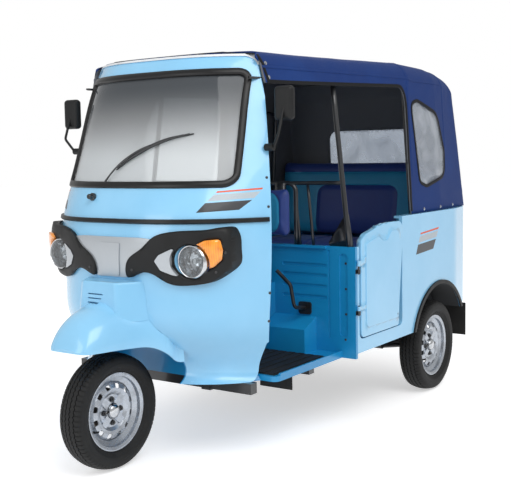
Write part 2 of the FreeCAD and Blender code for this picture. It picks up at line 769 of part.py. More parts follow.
def make_wheels():
    tyre, rim, hub = wheel_shapes(WHEEL_CENTRE, 1)
    save("front_tyre", tyre)
    save("front_rim", rim)
    save("front_hub", hub)
    for name, side in (("left", 1), ("right", -1)):
        centre = V(REAR_X, side * WHEEL_Y, TYRE_RADIUS)
        tyre, rim, hub = wheel_shapes(centre, side)
        inner = UNIT_HALF + 5
        shaft = cylinder(V(REAR_X, side * (UNIT_HALF - 30), TYRE_RADIUS), V(0, side, 0), SHAFT_RADIUS, WHEEL_Y - UNIT_HALF + 35)
        knuckle = cylinder(V(REAR_X, side * inner, TYRE_RADIUS), V(0, side, 0), JOINT_RADIUS, 52.0)
        boot = turned([(0, 0), (JOINT_RADIUS - 2, 0), (20.0, 16), (24.0, 24), (16.0, 40), (0, 40)],
                      V(REAR_X, side * (inner + 50), TYRE_RADIUS), V(0, side, 0))
        save("rear_" + name + "_tyre", tyre)
        save("rear_" + name + "_rim", rim)
        save("rear_" + name + "_hub", joined([hub, shaft, knuckle, boot]))


def make_drive_unit():
    """Motor and gear casing across the axle line, hung from the rear cross member."""
    profile = [(0.0, -UNIT_HALF)]
    ribs = 7
    length = 2 * UNIT_HALF
    for rib in range(ribs):
        low = -UNIT_HALF + length * rib / ribs
        profile.append((UNIT_RADIUS - 8, low + 2))
        profile.append((UNIT_RADIUS, low + 8))
        profile.append((UNIT_RADIUS, low + 18))
        profile.append((UNIT_RADIUS - 8, low + 24))
    profile.append((UNIT_RADIUS - 8, UNIT_HALF))
    profile.append((0.0, UNIT_HALF))
    centre = V(REAR_X, 0, TYRE_RADIUS)
    casing = turned_y(profile, centre)
    gear = cylinder(V(REAR_X + 96, -70, TYRE_RADIUS + 6), V(0, 1, 0), 64.0, 120.0)
    hanger = box(REAR_X - 24, REAR_X + 24, -90, 90, TYRE_RADIUS + 40, rail_top(REAR_X) - RAIL_DEPTH + 6)
    unit = casing.fuse([gear, hanger])
    bore = cylinder(V(REAR_X, -400, TYRE_RADIUS), V(0, 1, 0), SHAFT_RADIUS + AXLE_FIT, 800)
    blocked = cylinder(V(REAR_X, -UNIT_HALF + 40, TYRE_RADIUS), V(0, 1, 0), SHAFT_RADIUS + 2, 2 * UNIT_HALF - 80)
    save("drive_unit", joined([unit.cut(bore), blocked]))


def make_rear_arms():
    """Trailing arms from the pivot tube to the wheel bearing housings."""
    pivot_x = REAR_X + ARM_PIVOT_FORWARD
    housing_y = WHEEL_Y - DRUM_WIDTH - 4
    tube = cylinder(V(pivot_x, 175, ARM_PIVOT_Z), V(0, 1, 0), ARM_TUBE, 300.0)
    housing = cylinder(V(REAR_X, housing_y - 44, TYRE_RADIUS), V(0, 1, 0), HOUSING_RADIUS, 40.0)
    plate = cylinder(V(REAR_X, housing_y - 4, TYRE_RADIUS), V(0, 1, 0), DRUM_RADIUS - 4, 4.0)
    outer = rod(V(pivot_x, 446, ARM_PIVOT_Z), V(REAR_X + 10, housing_y - 24, TYRE_RADIUS), ARM_TUBE)
    inner = rod(V(pivot_x, 205, ARM_PIVOT_Z), V(REAR_X + 20, housing_y - 30, TYRE_RADIUS + 6), ARM_TUBE - 3)
    seat = cylinder(V(REAR_X + 74, 412, TYRE_RADIUS + 4), V(0, 0, 1), 44.0, 40.0)
    arm = joined([tube, housing, plate, outer, inner, seat])
    bore = cylinder(V(REAR_X, 0, TYRE_RADIUS), V(0, 1, 0), SHAFT_RADIUS + AXLE_FIT, 800)
    save("rear_arms", pair(arm.cut(bore)))
    top = rail_top(REAR_X + 100) - SEAT_GAP
    coil = spring(V(REAR_X + 74, 412, TYRE_RADIUS + 44), V(0, 0, 1), top - TYRE_RADIUS - 44, 40.0, 4)
    save("rear_springs", pair(coil))


# Chassis
def rail_top(x):
    """Height of the tub's underside, which is the top of the chassis rails."""
    arch_front = REAR_X + 307.0
    if x > TUB_X:
        return CAB_BOTTOM
    if x > arch_front:
        return TUB_BOTTOM
    share = (arch_front - x) / (arch_front - TAIL_X)
    return TUB_BOTTOM + (TUB_REAR_BOTTOM - TUB_BOTTOM) * share


def tow_eye():
    """Lug with a round bore under the tail, welded to the last cross member."""
    x = TAIL_X
    low = rail_top(x) - 66
    outline = [(x - 12, low), (x + 70, low), (x + 70, low + 58), (x - 12, low + 58)]
    eye = plate_y(outline, -7, 7, [26, 0, 0, 10])
    return eye.cut(cylinder(V(x + 14, -20, low + 30), V(0, 1, 0), TOW_BORE, 40.0))


def make_chassis_frame():
    front = FRONT_X - WELL_BACK - WELL_SHEET - 12
    kick = REAR_X + 307.0
    rear = TAIL_X + 30
    d = RAIL_DEPTH
    outline = [
        (front, CAB_BOTTOM), (TUB_X, CAB_BOTTOM), (TUB_X, TUB_BOTTOM), (kick, TUB_BOTTOM), (rear, rail_top(rear)),
        (rear, rail_top(rear) - d), (kick, TUB_BOTTOM - d), (TUB_X, CAB_BOTTOM - d), (front, CAB_BOTTOM - d),
    ]
    rail = plate_y(outline, RAIL_Y - RAIL_WIDTH / 2, RAIL_Y + RAIL_WIDTH / 2)
    members = [rail, mirrored(rail)]
    half = RAIL_Y + 5
    for x, reach in ((front - 26, FLOOR_HALF - 80), (WALL_X + 180, FLOOR_HALF - 60), (kick + 120, RAIL_Y), (REAR_X, RAIL_Y), (rear + 22, RAIL_Y + 120)):
        low = rail_top(x) - RAIL_DEPTH + 6
        members.append(box(x - 22, x + 22, -reach, reach, low, rail_top(x + 22) - 0.5))
    lug_outline = [(-30, 60), (30, 60), (30, -30), (-30, -30)]
    pivot_x = REAR_X + ARM_PIVOT_FORWARD
    for y in (RAIL_Y - 4, -RAIL_Y - 4):
        lug = plate_y([(pivot_x + x, ARM_PIVOT_Z + z) for x, z in lug_outline], y, y + 8, [0, 0, 28, 28])
        members.append(lug)
    pivots = cylinder(V(pivot_x, -500, ARM_PIVOT_Z), V(0, 1, 0), ARM_TUBE + SEAT_GAP, 1000.0)
    frame = joined(members).cut(pivots)
    head = cylinder(at_column(0, 0, HEAD_LOW), V(0, 0, 1), HEAD_RADIUS, HEAD_HIGH - HEAD_LOW)
    bore = cylinder(at_column(0, 0, HEAD_LOW - 10), V(0, 0, 1), COLUMN_RADIUS + HEAD_FIT, 900.0)
    middle = WHEEL_CENTRE + STEER_AXIS * 640.0
    foot_x = FRONT_X - WELL_BACK - 62
    post = bent_rod([middle, V(foot_x, 0, 620), V(foot_x, 0, FLOOR_TOP)], 24.0, 60.0)
    foot = box(foot_x - 46, foot_x + 40, -60, 60, FLOOR_TOP, FLOOR_TOP + 8)
    head = raked(head)
    head = joined([head, post, foot]).cut(raked(bore))
    save("chassis_frame", [frame.fuse(tow_eye()), head])


# Driver's floor and the wall behind the driver
def make_floor():
    edge = FRONT_X - 410
    slab = CAB_INNER.common(box(edge - 5, FRONT_X, -700, 700, CAB_BOTTOM, FLOOR_TOP))
    half = FLOOR_HALF
    rear = plate_z([(WALL_X, -half), (edge, -half), (edge, half), (WALL_X, half)], CAB_BOTTOM, FLOOR_TOP, [0, 30, 30, 0])
    lip = box(WALL_X, edge - 30, half - 9, half, FLOOR_TOP, FLOOR_TOP + LIP_HEIGHT)
    floor = joined([slab, rear, lip, mirrored(lip)]).cut(well_solid(WELL_SHEET))
    save("floor_pan", floor)
    x0 = WALL_X + TOE_DEPTH + 4
    x1 = FRONT_X - WELL_BACK - WELL_SHEET - 112
    base = box(x0, x1, -half + 24, half - 24, FLOOR_TOP, FLOOR_TOP + 3)
    ribs = []
    count = 22
    pitch = (2 * half - 48.0) / count
    for index in range(count):
        y = -half + 24 + pitch * (index + 0.2)
        ribs.append(box(x0 + 6, x1 - 6, y, y + pitch * 0.6, FLOOR_TOP + 3, FLOOR_TOP + MAT_THICK))
    save("floor_mat", base.fuse(ribs))


TOE_DEPTH = 110.0
TOE_HALF = 440.0
LIP_HEIGHT = 10.0


def make_partition():
    """Pressed wall with grooves, hinge channels and the toe box at its foot."""
    wall = box(TUB_X, WALL_X, -BODY_HALF, BODY_HALF, CAB_BOTTOM, PARTITION_TOP)
    cuts = []
    for side in (-1, 1):
        for z in (634.0, 686.0, 738.0, 786.0):
            outline = [(side * 250.0, z - 8), (side * 500.0, z - 8), (side * 500.0, z + 8), (side * 250.0, z + 8)]
            cuts.append(plate_x(outline, WALL_X - 5, WALL_X + 5, 7.9))
        groove = [(side * 508.0, 440), (side * 518.0, 440), (side * 518.0, 862), (side * 508.0, 862)]
        cuts.append(plate_x(groove, WALL_X - 5, WALL_X + 5, 4.9))
        channel = [(side * 568.0, 452), (side * 612.0, 452), (side * 612.0, 847), (side * 568.0, 847)]
        cuts.append(plate_x(channel, WALL_X - 7, WALL_X + 5, 20.0))
    wall = wall.cut(cuts)
    flange = box(TUB_X, WALL_X + 14, -500, 500, PARTITION_TOP - 12, PARTITION_TOP)
    toe = [(WALL_X, FLOOR_TOP), (WALL_X + TOE_DEPTH, FLOOR_TOP), (WALL_X + TOE_DEPTH, 490), (WALL_X, 537)]
    toe_box = plate_y(toe, -TOE_HALF, TOE_HALF)
    hollow = [(WALL_X - 1, FLOOR_TOP - 1), (WALL_X + TOE_DEPTH - 8, FLOOR_TOP - 1), (WALL_X + TOE_DEPTH - 8, 482), (WALL_X - 1, 528)]
    toe_box = toe_box.cut(plate_y(hollow, -TOE_HALF + 8, TOE_HALF - 8))
    save("partition_wall", joined([wall, flange, toe_box]))


SEAT_HALF = 205.0
SEAT_DEPTH = 330.0
SEAT_STAND_TOP = 690.0
CUSHION_THICK = 95.0
STAND_SHEET = 12.0


def make_driver_seat():
    x0 = WALL_X + 14
    x1 = x0 + SEAT_DEPTH
    top = SEAT_STAND_TOP
    side = [(WALL_X, 540), (WALL_X + TOE_DEPTH + 3, 490), (WALL_X + TOE_DEPTH + 3, FLOOR_TOP + MAT_THICK + 1), (x1 - 70, FLOOR_TOP + MAT_THICK + 1), (x1, top), (WALL_X, top)]
    plates = []
    for y in (-SEAT_HALF, SEAT_HALF - STAND_SHEET):
        plates.append(plate_y(side, y, y + STAND_SHEET, [0, 0, 0, 30, 10, 0]))
    plates.append(box(WALL_X, x1, -SEAT_HALF, SEAT_HALF, top - STAND_SHEET, top))
    low = FLOOR_TOP + MAT_THICK
    foot = box(WALL_X + TOE_DEPTH + 10, x1 - 70, -SEAT_HALF, SEAT_HALF, low, low + 6)
    save("driver_seat_stand", joined(plates + [foot]))
    half = SEAT_HALF + 20
    cushion = box(x0 + 2, x1 + 22, -half, half, top + SEAT_GAP, top + CUSHION_THICK)
    save("driver_seat_cushion", cushion.makeFillet(26.0, cushion.Edges))
    back = box(WALL_X + 16, WALL_X + 76, -345, 345, 905.0, 1165.0)
    save("driver_backrest", back.makeFillet(22.0, back.Edges))


RAIL_TOP = 1175.0
POST_RADIUS = 12.0


def post_point(side, z):
    share = (z - PARTITION_TOP) / (1572.0 - PARTITION_TOP)
    return V(WALL_X - 9 + 55 * share, side * (618 - 46 * share), z)


def make_guard_rail():
    """Posts beside the doors and the rail that carries the driver's backrest."""
    pieces = []
    x = WALL_X - 6
    z = PARTITION_TOP
    inner = bent_rod([V(x, -330, z), V(x, -330, RAIL_TOP), V(x, 330, RAIL_TOP), V(x, 330, z)], TUBE_RADIUS, 45.0)
    pieces.append(inner)
    for side in (-1, 1):
        pieces.append(rod(post_point(side, z), post_point(side, 1572.0), POST_RADIUS))
        end = post_point(side, RAIL_TOP)
        pieces.append(rod(V(x, side * 300, RAIL_TOP), end, 9.0))
        gusset = [(side * 500.0, z), (side * 640.0, z), (side * 616.0, z + 150), (side * 600.0, z + 150)]
        pieces.append(plate_x(gusset, x - 6, x + 2, [12, 0, 6, 6]))
        for y in (352.0, 426.0):
            pieces.append(rod(V(x, side * y, z - 0.1), V(x, side * (y - 30), RAIL_TOP), 7.0))
    for y in (-250.0, 250.0):
        pieces.append(box(x, WALL_X + 16, y - 25, y + 25, 960, RAIL_TOP))
    below = box(TUB_X - 40, WALL_X + 40, -700, 700, z - 60, z)
    save("guard_rail", joined(pieces).cut(below))


def make_controls():
    """Foot brake pedal and the parking brake lever."""
    foot = V(FRONT_X - 452, -300, FLOOR_TOP + MAT_THICK)
    knee = foot + V(20, 0, 62)
    arm = bent_rod([foot, knee, knee + V(60, 0, 40)], 8.0, 16.0)
    pad = box(-8, 8, -40, 40, -28, 28)
    pad = pad.makeFillet(5.0, pad.Edges)
    pad.rotate(V(0, 0, 0), V(0, 1, 0), 35)
    pad.translate(knee + V(62, 0, 42))
    base = box(foot.x - 30, foot.x + 30, -330, -270, FLOOR_TOP + MAT_THICK, FLOOR_TOP + MAT_THICK + 8)
    pedal = joined([arm, pad, base])
    x = WALL_X
    path = [V(x - 4, 380, 575), V(x + 100, 380, 590), V(x + 118, 372, 700), V(x + 118, 296, 764)]
    lever = bent_rod(path, 9.0, 32.0)
    plate = plate_x([(345, 545), (415, 545), (415, 605), (345, 605)], x - 5, x + 8, 12.0)
    lever = joined([lever, plate])
    wall = box(TUB_X - 5, WALL_X, 200, 600, 400, 800)
    save("driver_controls", [pedal, lever.cut(wall)])


def make_dashboard():
    shelf = plate_x([(-430, 948), (430, 948), (430, 1042), (-430, 1042)], FRONT_X - 500, FRONT_X, 24.0)
    shelf = cab_layer(-100.0, -CAB_WALL - SEAT_GAP, shelf)
    save("dashboard", shelf.cut(pair(lamp_hole(LAMP_RADIUS + RUN_GAP))))


def make_mirrors():
    """Side mirrors on bent stalks from the cab's rear edge."""
    base = V(FRONT_X - 416, 546.0, 1345.0)
    knuckle = cylinder(base - V(0, 6, 0), V(0, 1, 0), 15.0, 40.0)
    joint = base + V(0, 34, 0)
    head = V(FRONT_X - 448, 616.0, 1525.0)
    stalk = bent_rod([joint, joint + V(20, 40, 60), head + V(16, 4, -20), head + V(6, 0, -6)], 6.0, 22.0)
    shell = Part.makeBox(42, 90, 142, head - V(21, 45, 71))
    shell = shell.makeFillet(18.0, shell.Edges)
    recess = box(head.x - 30, head.x - 14, head.y - 36, head.y + 36, head.z - 60, head.z + 60)
    pane = box(head.x - 19, head.x - 14, head.y - 36, head.y + 36, head.z - 60, head.z + 60)
    shell = joined([shell, stalk, knuckle]).cut(recess).cut(cab_solid(SEAT_GAP, CAB_TAIL))
    keep = max(shell.Solids, key=lambda solid: solid.Volume)
    save("mirrors", pair(keep))
    save("mirror_panes", pair(pane))


# Passenger tub
def tub_plan(inset):
    half = BODY_HALF - inset
    tail = TAIL_X + inset
    front = TUB_X - (inset if inset else 0.0) + (40.0 if inset else 0.0)
    taper = TAIL_X + 290.0
    return [(front, -half), (front, half), (taper, half), (tail, half - TUB_TAPER), (tail, -half + TUB_TAPER), (taper, -half)]


TUB_TAPER = 58.0


def tub_block(inset, profile):
    radii = [0, 0, 400.0, TUB_CORNER - inset, TUB_CORNER - inset, 400.0]
    block = plate_z(tub_plan(inset), 200.0, 1300.0, radii)
    return block.common(plate_y(profile, -FAR, FAR))


def wheelhouse(radius, inner):
    centre = V(REAR_X, inner, ARCH_CENTRE_Z)
    return cylinder(centre, V(0, 1, 0), radius, BODY_HALF + 100 - inner)


def door_outline(grow):
    x0 = WALL_X - DOOR_FRONT + grow
    x1 = WALL_X - DOOR_FRONT - DOOR_LENGTH - grow
    low = DOOR_BOTTOM - grow
    front = DOOR_TOP_FRONT
    rear = DOOR_TOP_REAR
    return [(x0, low), (x0, front), (x0 - 170, front + 6), (x0 - 262, rear), (x1, rear - 4), (x1, low)]


DOOR_ROUNDS = [26.0, 18.0, 90.0, 70.0, 50.0, 26.0]


def make_rear_body():
    """Open tub with wheel houses, doorways and a rolled top rim."""
    kick = REAR_X + 307.0
    far_x = TAIL_X - 50
    profile = [(TUB_X, TUB_BOTTOM), (kick, TUB_BOTTOM), (far_x, rail_top(far_x)), (far_x, BODY_TOP), (TUB_X, BODY_TOP)]
    body = tub_block(0.0, profile)
    hollow = [
        (TUB_X + 50, TUB_FLOOR_TOP), (kick, TUB_FLOOR_TOP), (kick - 100, TUB_REAR_FLOOR_TOP),
        (far_x, TUB_REAR_FLOOR_TOP), (far_x, BODY_TOP - TUB_RIM_DEPTH), (TUB_X + 50, BODY_TOP - TUB_RIM_DEPTH),
    ]
    body = body.cut(tub_block(TUB_WALL, hollow))
    mouth = [(TUB_X + 50, BODY_TOP - 40), (far_x, BODY_TOP - 40), (far_x, BODY_TOP + 40), (TUB_X + 50, BODY_TOP + 40)]
    body = body.cut(tub_block(TUB_RIM_WIDTH, mouth))
    for side in (1, -1):
        house = wheelhouse(ARCH_RADIUS + ARCH_SHEET, WHEELHOUSE_HALF - ARCH_SHEET)
        house = house.common(box(-FAR, FAR, 0, BODY_HALF - 1, TUB_BOTTOM, 900))
        space = wheelhouse(ARCH_RADIUS, WHEELHOUSE_HALF)
        if side < 0:
            house = mirrored(house)
            space = mirrored(space)
        body = body.fuse(house).cut(space)
    doorway = door_outline(DOOR_GAP)
    x0 = doorway[0][0]
    x1 = doorway[-1][0]
    opening = plate_y([(x0, DOOR_BOTTOM - DOOR_GAP), (x0, 1200), (x1, 1200), (x1, DOOR_BOTTOM - DOOR_GAP)], -FAR, FAR, [30, 0, 0, 30])
    body = body.cut(opening.cut(box(-FAR, FAR, -BODY_HALF + TUB_RIM_WIDTH + 20, BODY_HALF - TUB_RIM_WIDTH - 20, 0, FAR)))
    body = body.cut(box(x0 - 5, TUB_X + 60, -FAR, FAR, PARTITION_TOP, FAR))
    below = plate_y(profile, -FAR, FAR)
    body = body.common(below)
    holes = []
    for y in (-PLATE_PITCH / 2, PLATE_PITCH / 2):
        holes.append(cylinder(V(TAIL_X - 20, y, PLATE_Z), V(1, 0, 0), PLATE_HOLE, 60.0))
    save("rear_body", body.cut(holes).removeSplitter())


PLATE_PITCH = 150.0
PLATE_Z = 640.0
PLATE_HOLE = 3.5


def make_arch_trims():
    centre = V(REAR_X, BODY_HALF, ARCH_CENTRE_Z)
    ring = cylinder(centre, V(0, 1, 0), ARCH_RADIUS + TRIM_WIDTH, TRIM_PROUD)
    ring = ring.cut(cylinder(centre - V(0, 5, 0), V(0, 1, 0), ARCH_RADIUS, TRIM_PROUD + 10))
    profile = [(REAR_X + 500, TUB_BOTTOM), (REAR_X + 307, TUB_BOTTOM), (TAIL_X, TUB_REAR_BOTTOM), (TAIL_X, 900), (REAR_X + 500, 900)]
    trim = ring.common(plate_y(profile, 0, FAR))
    save("arch_trims", pair(trim))


def make_doors():
    """Half doors with a raised field, hung on two hinges each."""
    pin_x = WALL_X - 15
    pin_y = BODY_HALF + HINGE_BARREL + 1
    outer = BODY_HALF + DOOR_PROUD
    panel = plate_y(door_outline(0.0), outer - DOOR_THICK, outer, DOOR_ROUNDS)
    rims = [e for e in panel.Edges if e.BoundBox.YMin > outer - 0.01]
    panel = panel.makeFillet(4.0, rims)
    field = plate_y(door_outline(-42.0)[:1] + [(x, z - 42) for x, z in door_outline(-42.0)[1:5]] + door_outline(-42.0)[5:], outer, outer + 4, [30, 20, 90, 60, 40, 30])
    field = field.makeFillet(3.0, [e for e in field.Edges if e.BoundBox.YMin > outer + 3.9])
    door = panel.fuse(field)
    knuckles = []
    leaves = []
    for height in HINGE_HEIGHTS:
        half = HINGE_LENGTH / 2
        upper = cylinder(V(pin_x, pin_y, height + 0.5), V(0, 0, 1), HINGE_BARREL, half)
        strap = box(WALL_X - DOOR_FRONT - 40, pin_x, pin_y - 1.2, pin_y + 2.8, height + 0.5, height + half)
        knuckles.append(upper)
        knuckles.append(strap)
        lower = cylinder(V(pin_x, pin_y, height - half), V(0, 0, 1), HINGE_BARREL, half)
        pin = cylinder(V(pin_x, pin_y, height - half - 3), V(0, 0, 1), HINGE_PIN, HINGE_LENGTH + 8)
        plate = box(pin_x - 12, WALL_X, BODY_HALF, BODY_HALF + 3, height - half, height)
        leaves.append(joined([lower, pin, plate]))
    door = joined([door] + knuckles)
    for height in HINGE_HEIGHTS:
        door = door.cut(cylinder(V(pin_x, pin_y, height - 40), V(0, 0, 1), HINGE_PIN + AXLE_FIT, 80))
    save("left_door", door)
    save("right_door", mirrored(door))
    save("door_hinges", leaves + [mirrored(leaf) for leaf in leaves])


BENCH_FRONT = 770.0
BENCH_TOP = 655.0
BENCH_DEPTH = 535.0
BENCH_CUSHION = 145.0
BATTERY_LENGTH = 380.0


def make_rear_seat():
    x1 = WALL_X - BENCH_FRONT
    x0 = x1 - BENCH_DEPTH
    low = TUB_REAR_FLOOR_TOP
    half = WHEELHOUSE_HALF - ARCH_SHEET - 3
    base = box(x0, x1, -half, half, low, BENCH_TOP)
    inner = box(x0 - 5, x1 - 10, -half + 10, half - 10, low - 5, BENCH_TOP - 10)
    top = box(x0, x1, -half - 120, half + 120, BENCH_TOP - 10, BENCH_TOP)
    base = joined([base, top]).cut(inner)
    for side in (-1, 1):
        louvre = []
        for index in range(5):
            z = low + 50 + index * 22
            louvre.append(box(x1 - 20, x1 + 5, side * 250 - 130, side * 250 + 130, z, z + 8))
        base = base.cut(louvre)
    save("rear_bench_base", base)
    pack_x1 = x1 - 40
    save("battery_pack", box(pack_x1 - BATTERY_LENGTH, pack_x1, -330, 330, low, BENCH_TOP - 30))
    cushion = box(x1 - 500, x1 + 34, -590, 590, BENCH_TOP + SEAT_GAP, BENCH_TOP + BENCH_CUSHION)
    save("rear_seat_cushion", cushion.makeFillet(30.0, cushion.Edges))
    foot = BENCH_TOP + BENCH_CUSHION
    outline = [(x1 - 400, foot + SEAT_GAP), (x1 - 470, 1275), (x1 - 545, 1275), (x1 - 545, foot + SEAT_GAP)]
    back = plate_y(outline, -572, 572, [40, 30, 30, 30])
    ends = [e for e in back.Edges if e.BoundBox.YLength < 1]
    save("rear_backrest", back.makeFillet(18.0, ends))
    low_beam = rod(V(x1 - 558, -TUB_HOOP_Y, 1190), V(x1 - 558, TUB_HOOP_Y, 1190), TUBE_RADIUS)
    return low_beam


TUB_HOOP_Y = 560.0

# Canopy sections: set-back behind the front axle, half width at the foot,
# half width at the top, crown height and shoulder radius
CANOPY_SECTIONS = [
    (300.0, 700.0, 470.0, 1752.0, 78.0),
    (500.0, 690.0, 476.0, 1755.0, 80.0),
    (1200.0, 650.0, 537.0, 1768.0, 95.0),
    (1660.0, 634.0, 586.0, CANOPY_TOP, 110.0),
    (2000.0, 628.0, 580.0, 1773.0, 115.0),
    (2500.0, 582.0, 540.0, 1735.0, 115.0),
]
CANOPY_BASE = 993.0
CANOPY_FRONT_LAP = 30.0


def canopy_solid(inset, drop, ahead):
    """Roof and sides as a loft of rounded sections, closed by the sloping rear wall."""
    wires = []
    for index, (setback, foot, half, crown, radius) in enumerate(CANOPY_SECTIONS):
        x = FRONT_X - setback + (ahead if index == 0 else 0.0)
        low = CANOPY_BASE - drop
        outline = [(-foot + inset, low), (foot - inset, low), (half - inset, crown - inset), (-half + inset, crown - inset)]
        radius = radius - inset
        wires.append(round_outline([V(x, y, z) for y, z in outline], [0, 0, radius, radius]))
    body = Part.makeLoft(wires, True, True)
    rear = []
    for z, tail in ((CANOPY_BASE - drop - 5, 0.0), (CANOPY_TOP + 20, CANOPY_LEAN)):
        x1 = TAIL_X - 6 + inset + tail
        outline = [(FRONT_X, -800), (FRONT_X, 800), (x1 + 480, 700), (x1, 606 - inset), (x1, -606 + inset), (x1 + 480, -700)]
        rear.append(round_outline([V(x, y, z) for x, y in outline], [0, 0, 0, 85.0 - inset, 85.0 - inset, 0]))
    body = body.common(Part.makeLoft(rear, True, True))
    span = CANOPY_TOP + 20 - CANOPY_BASE

    def wall_x(z):
        return TAIL_X - 8 + inset + CANOPY_LEAN * (z - CANOPY_BASE) / span

    top = 1738.0 - inset
    brow = CANOPY_TOP + 4 - inset
    curve = [(FRONT_X, 600), (wall_x(600), 600), (wall_x(top), top), (FRONT_X - 1960, brow), (FRONT_X, brow)]
    return body.common(plate_y(curve, -FAR, FAR, [0, 0, CANOPY_TAIL_RADIUS - inset, 300.0, 0]))


CANOPY_LEAN = 97.0
CANOPY_TAIL_RADIUS = 165.0


def window_prisms():
    points = [(1690, 1560), (1765, 1574), (2012, 1512), (2102, 1311), (2084, 1188), (1826, 1138), (1746, 1160)]
    outline = [(FRONT_X - x, z) for x, z in points]
    side = plate_y(outline, 350, FAR, [45, 60, 110, 60, 60, 30, 30])
    rear = plate_x([(-300, 1190), (300, 1190), (280, 1450), (-280, 1450)], TAIL_X - 200, TAIL_X + 260, 60.0)
    return [side, mirrored(side), rear]


def make_canopy():
    outer = canopy_solid(0.0, 0.0, 0.0)
    inner = canopy_solid(CANOPY_SHEET, 30.0, 40.0)
    cover = outer.cut(inner)
    x1 = FRONT_X - 1622
    openings = [(FRONT_X, 900), (FRONT_X, 1548), (FRONT_X - 500, 1553), (x1, 1586), (x1 + 14, 900)]
    for side in (1, -1):
        hole = plate_y(openings, 300, FAR, [0, 0, 0, 70, 0])
        if side < 0:
            hole = mirrored(hole)
        cover = cover.cut(hole)
    station = (1400.0, 380.0, 510.0, 500.0)
    lip = Part.Face(cab_plan(station, -CANOPY_FRONT_LAP, 100.0)).extrude(V(0, 0, 500))
    ahead = box(FRONT_X - 540, FRONT_X, -800, 800, 1400, 1900).cut(lip)
    cover = cover.cut(ahead)
    prisms = window_prisms()
    windows = []
    film = canopy_solid(2.5, 10.0, 0.0).cut(canopy_solid(4.5, 30.0, 20.0))
    for prism in prisms:
        windows.append(film.common(prism))
    cover = cover.cut(prisms)
    keep = max(cover.Solids, key=lambda solid: solid.Volume)
    save("canopy", keep)
    save("canopy_windows", windows)


def hoop(x, foot, shoulder, crown, shoulder_z):
    """Bow of round tube from one side rim over to the other."""
    low = BODY_TOP + SEAT_GAP
    path = [V(x, -foot, low), V(x, -shoulder, shoulder_z), V(x, -shoulder + 86, crown),
            V(x, shoulder - 86, crown), V(x, shoulder, shoulder_z), V(x, foot, low)]
    return bent_rod(path, TUBE_RADIUS, 58.0)


def make_canopy_frame():
    drop = CANOPY_SHEET + TUBE_RADIUS + 4
    pieces = [
        hoop(FRONT_X - 1656, 610.0, 566.0, CANOPY_TOP - drop, 1655.0),
        hoop(FRONT_X - 2130, 580.0, 540.0, 1757 - drop, 1600.0),
    ]
    for side in (-1, 1):
        start = V(FRONT_X - cab_edge(1590.0) + 4, side * 489.0, 1590.0)
        middle = V(FRONT_X - 1656, side * 571.0, 1608.0)
        end = V(FRONT_X - 2130, side * 545.0, 1560.0)
        pieces.append(rod(start, middle, 9.0))
        pieces.append(rod(middle, end, 9.0))
    z = CANOPY_TOP - drop - 2
    pieces.append(rod(V(FRONT_X - 2130, 0, 1757 - drop), V(FRONT_X - 1656, 0, z), 8.0))
    roof_edge = cab_edge(CAB_TOP + 4) + SEAT_GAP
    pieces.append(rod(V(FRONT_X - 1656, 0, z), V(FRONT_X - roof_edge, 0, CAB_TOP + 4), 8.0))
    frame = joined(pieces).cut(CAB_BODY.common(cab_front_prism(0.0)))
    save("canopy_frame", frame)


def make_rear_fittings():
    x = TAIL_X
    lamp = plate_x([(505, 770), (572, 770), (566, 962), (512, 962)], x - 14, x, [18, 18, 18, 18])
    lamp = lamp.makeFillet(6.0, [e for e in lamp.Edges if e.BoundBox.XMax < x - 13.9])
    save("tail_lamps", pair(lamp))
    low = TUB_REAR_BOTTOM + 12
    depth = OVERALL_LENGTH / 2 + TAIL_X
    bumper = plate_x([(-560, low), (560, low), (560, low + 68), (-560, low + 68)], x - depth, x, 26.0)
    bumper = bumper.makeFillet(8.0, [e for e in bumper.Edges if e.BoundBox.XMax < x - depth + 0.1])
    save("rear_bumper", bumper)
    flaps = []
    fx = TAIL_X + 122
    flaps.append(box(fx, fx + 6, 505, 648, 240, rail_top(fx + 6) - SEAT_GAP))
    front = FRONT_X - 552
    flaps.append(box(front, front + 6, 400, FLOOR_HALF - 12, 288, CAB_BOTTOM - SEAT_GAP))
    save("mudflaps", [item for flap in flaps for item in pair(flap)])



for build in (
    make_windscreen, make_waist_strip, make_nose, make_header_strip, make_wiper,
    make_front_fender, make_well_liner, make_steering, make_wheels, make_drive_unit, make_rear_arms,
    make_chassis_frame, make_floor, make_partition, make_driver_seat, make_guard_rail, make_controls,
    make_dashboard, make_mirrors, make_rear_body, make_arch_trims, make_doors, make_rear_seat, make_canopy,
    make_canopy_frame, make_rear_fittings,
):
    build()
save("cab_cowl", make_cab_cowl())
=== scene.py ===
import math

import bmesh
import bpy
from mathutils import Matrix, Vector, noise
from mathutils.bvhtree import BVHTree


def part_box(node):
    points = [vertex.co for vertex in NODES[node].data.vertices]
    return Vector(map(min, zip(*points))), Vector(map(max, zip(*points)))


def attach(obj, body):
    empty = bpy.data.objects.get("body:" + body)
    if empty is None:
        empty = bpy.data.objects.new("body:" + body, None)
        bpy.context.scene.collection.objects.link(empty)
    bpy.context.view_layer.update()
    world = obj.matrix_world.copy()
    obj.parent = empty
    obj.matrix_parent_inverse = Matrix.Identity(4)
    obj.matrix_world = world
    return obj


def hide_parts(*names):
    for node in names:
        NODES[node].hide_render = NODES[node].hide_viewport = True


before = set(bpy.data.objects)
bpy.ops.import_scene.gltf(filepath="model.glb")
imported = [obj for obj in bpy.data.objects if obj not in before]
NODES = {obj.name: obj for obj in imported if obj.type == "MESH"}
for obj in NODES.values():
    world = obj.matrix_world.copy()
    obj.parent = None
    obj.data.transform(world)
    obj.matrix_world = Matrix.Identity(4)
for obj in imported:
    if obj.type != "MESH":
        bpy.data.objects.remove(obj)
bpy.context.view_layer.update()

# Where the photograph was taken from, in metres and degrees
EYE = Vector((3.9137, 2.7322, 1.3198))
EYE_TURN = 34.923
EYE_DROP = 5.5459
EYE_ROLL = -1.0375
LENS_PIXELS = 932.08
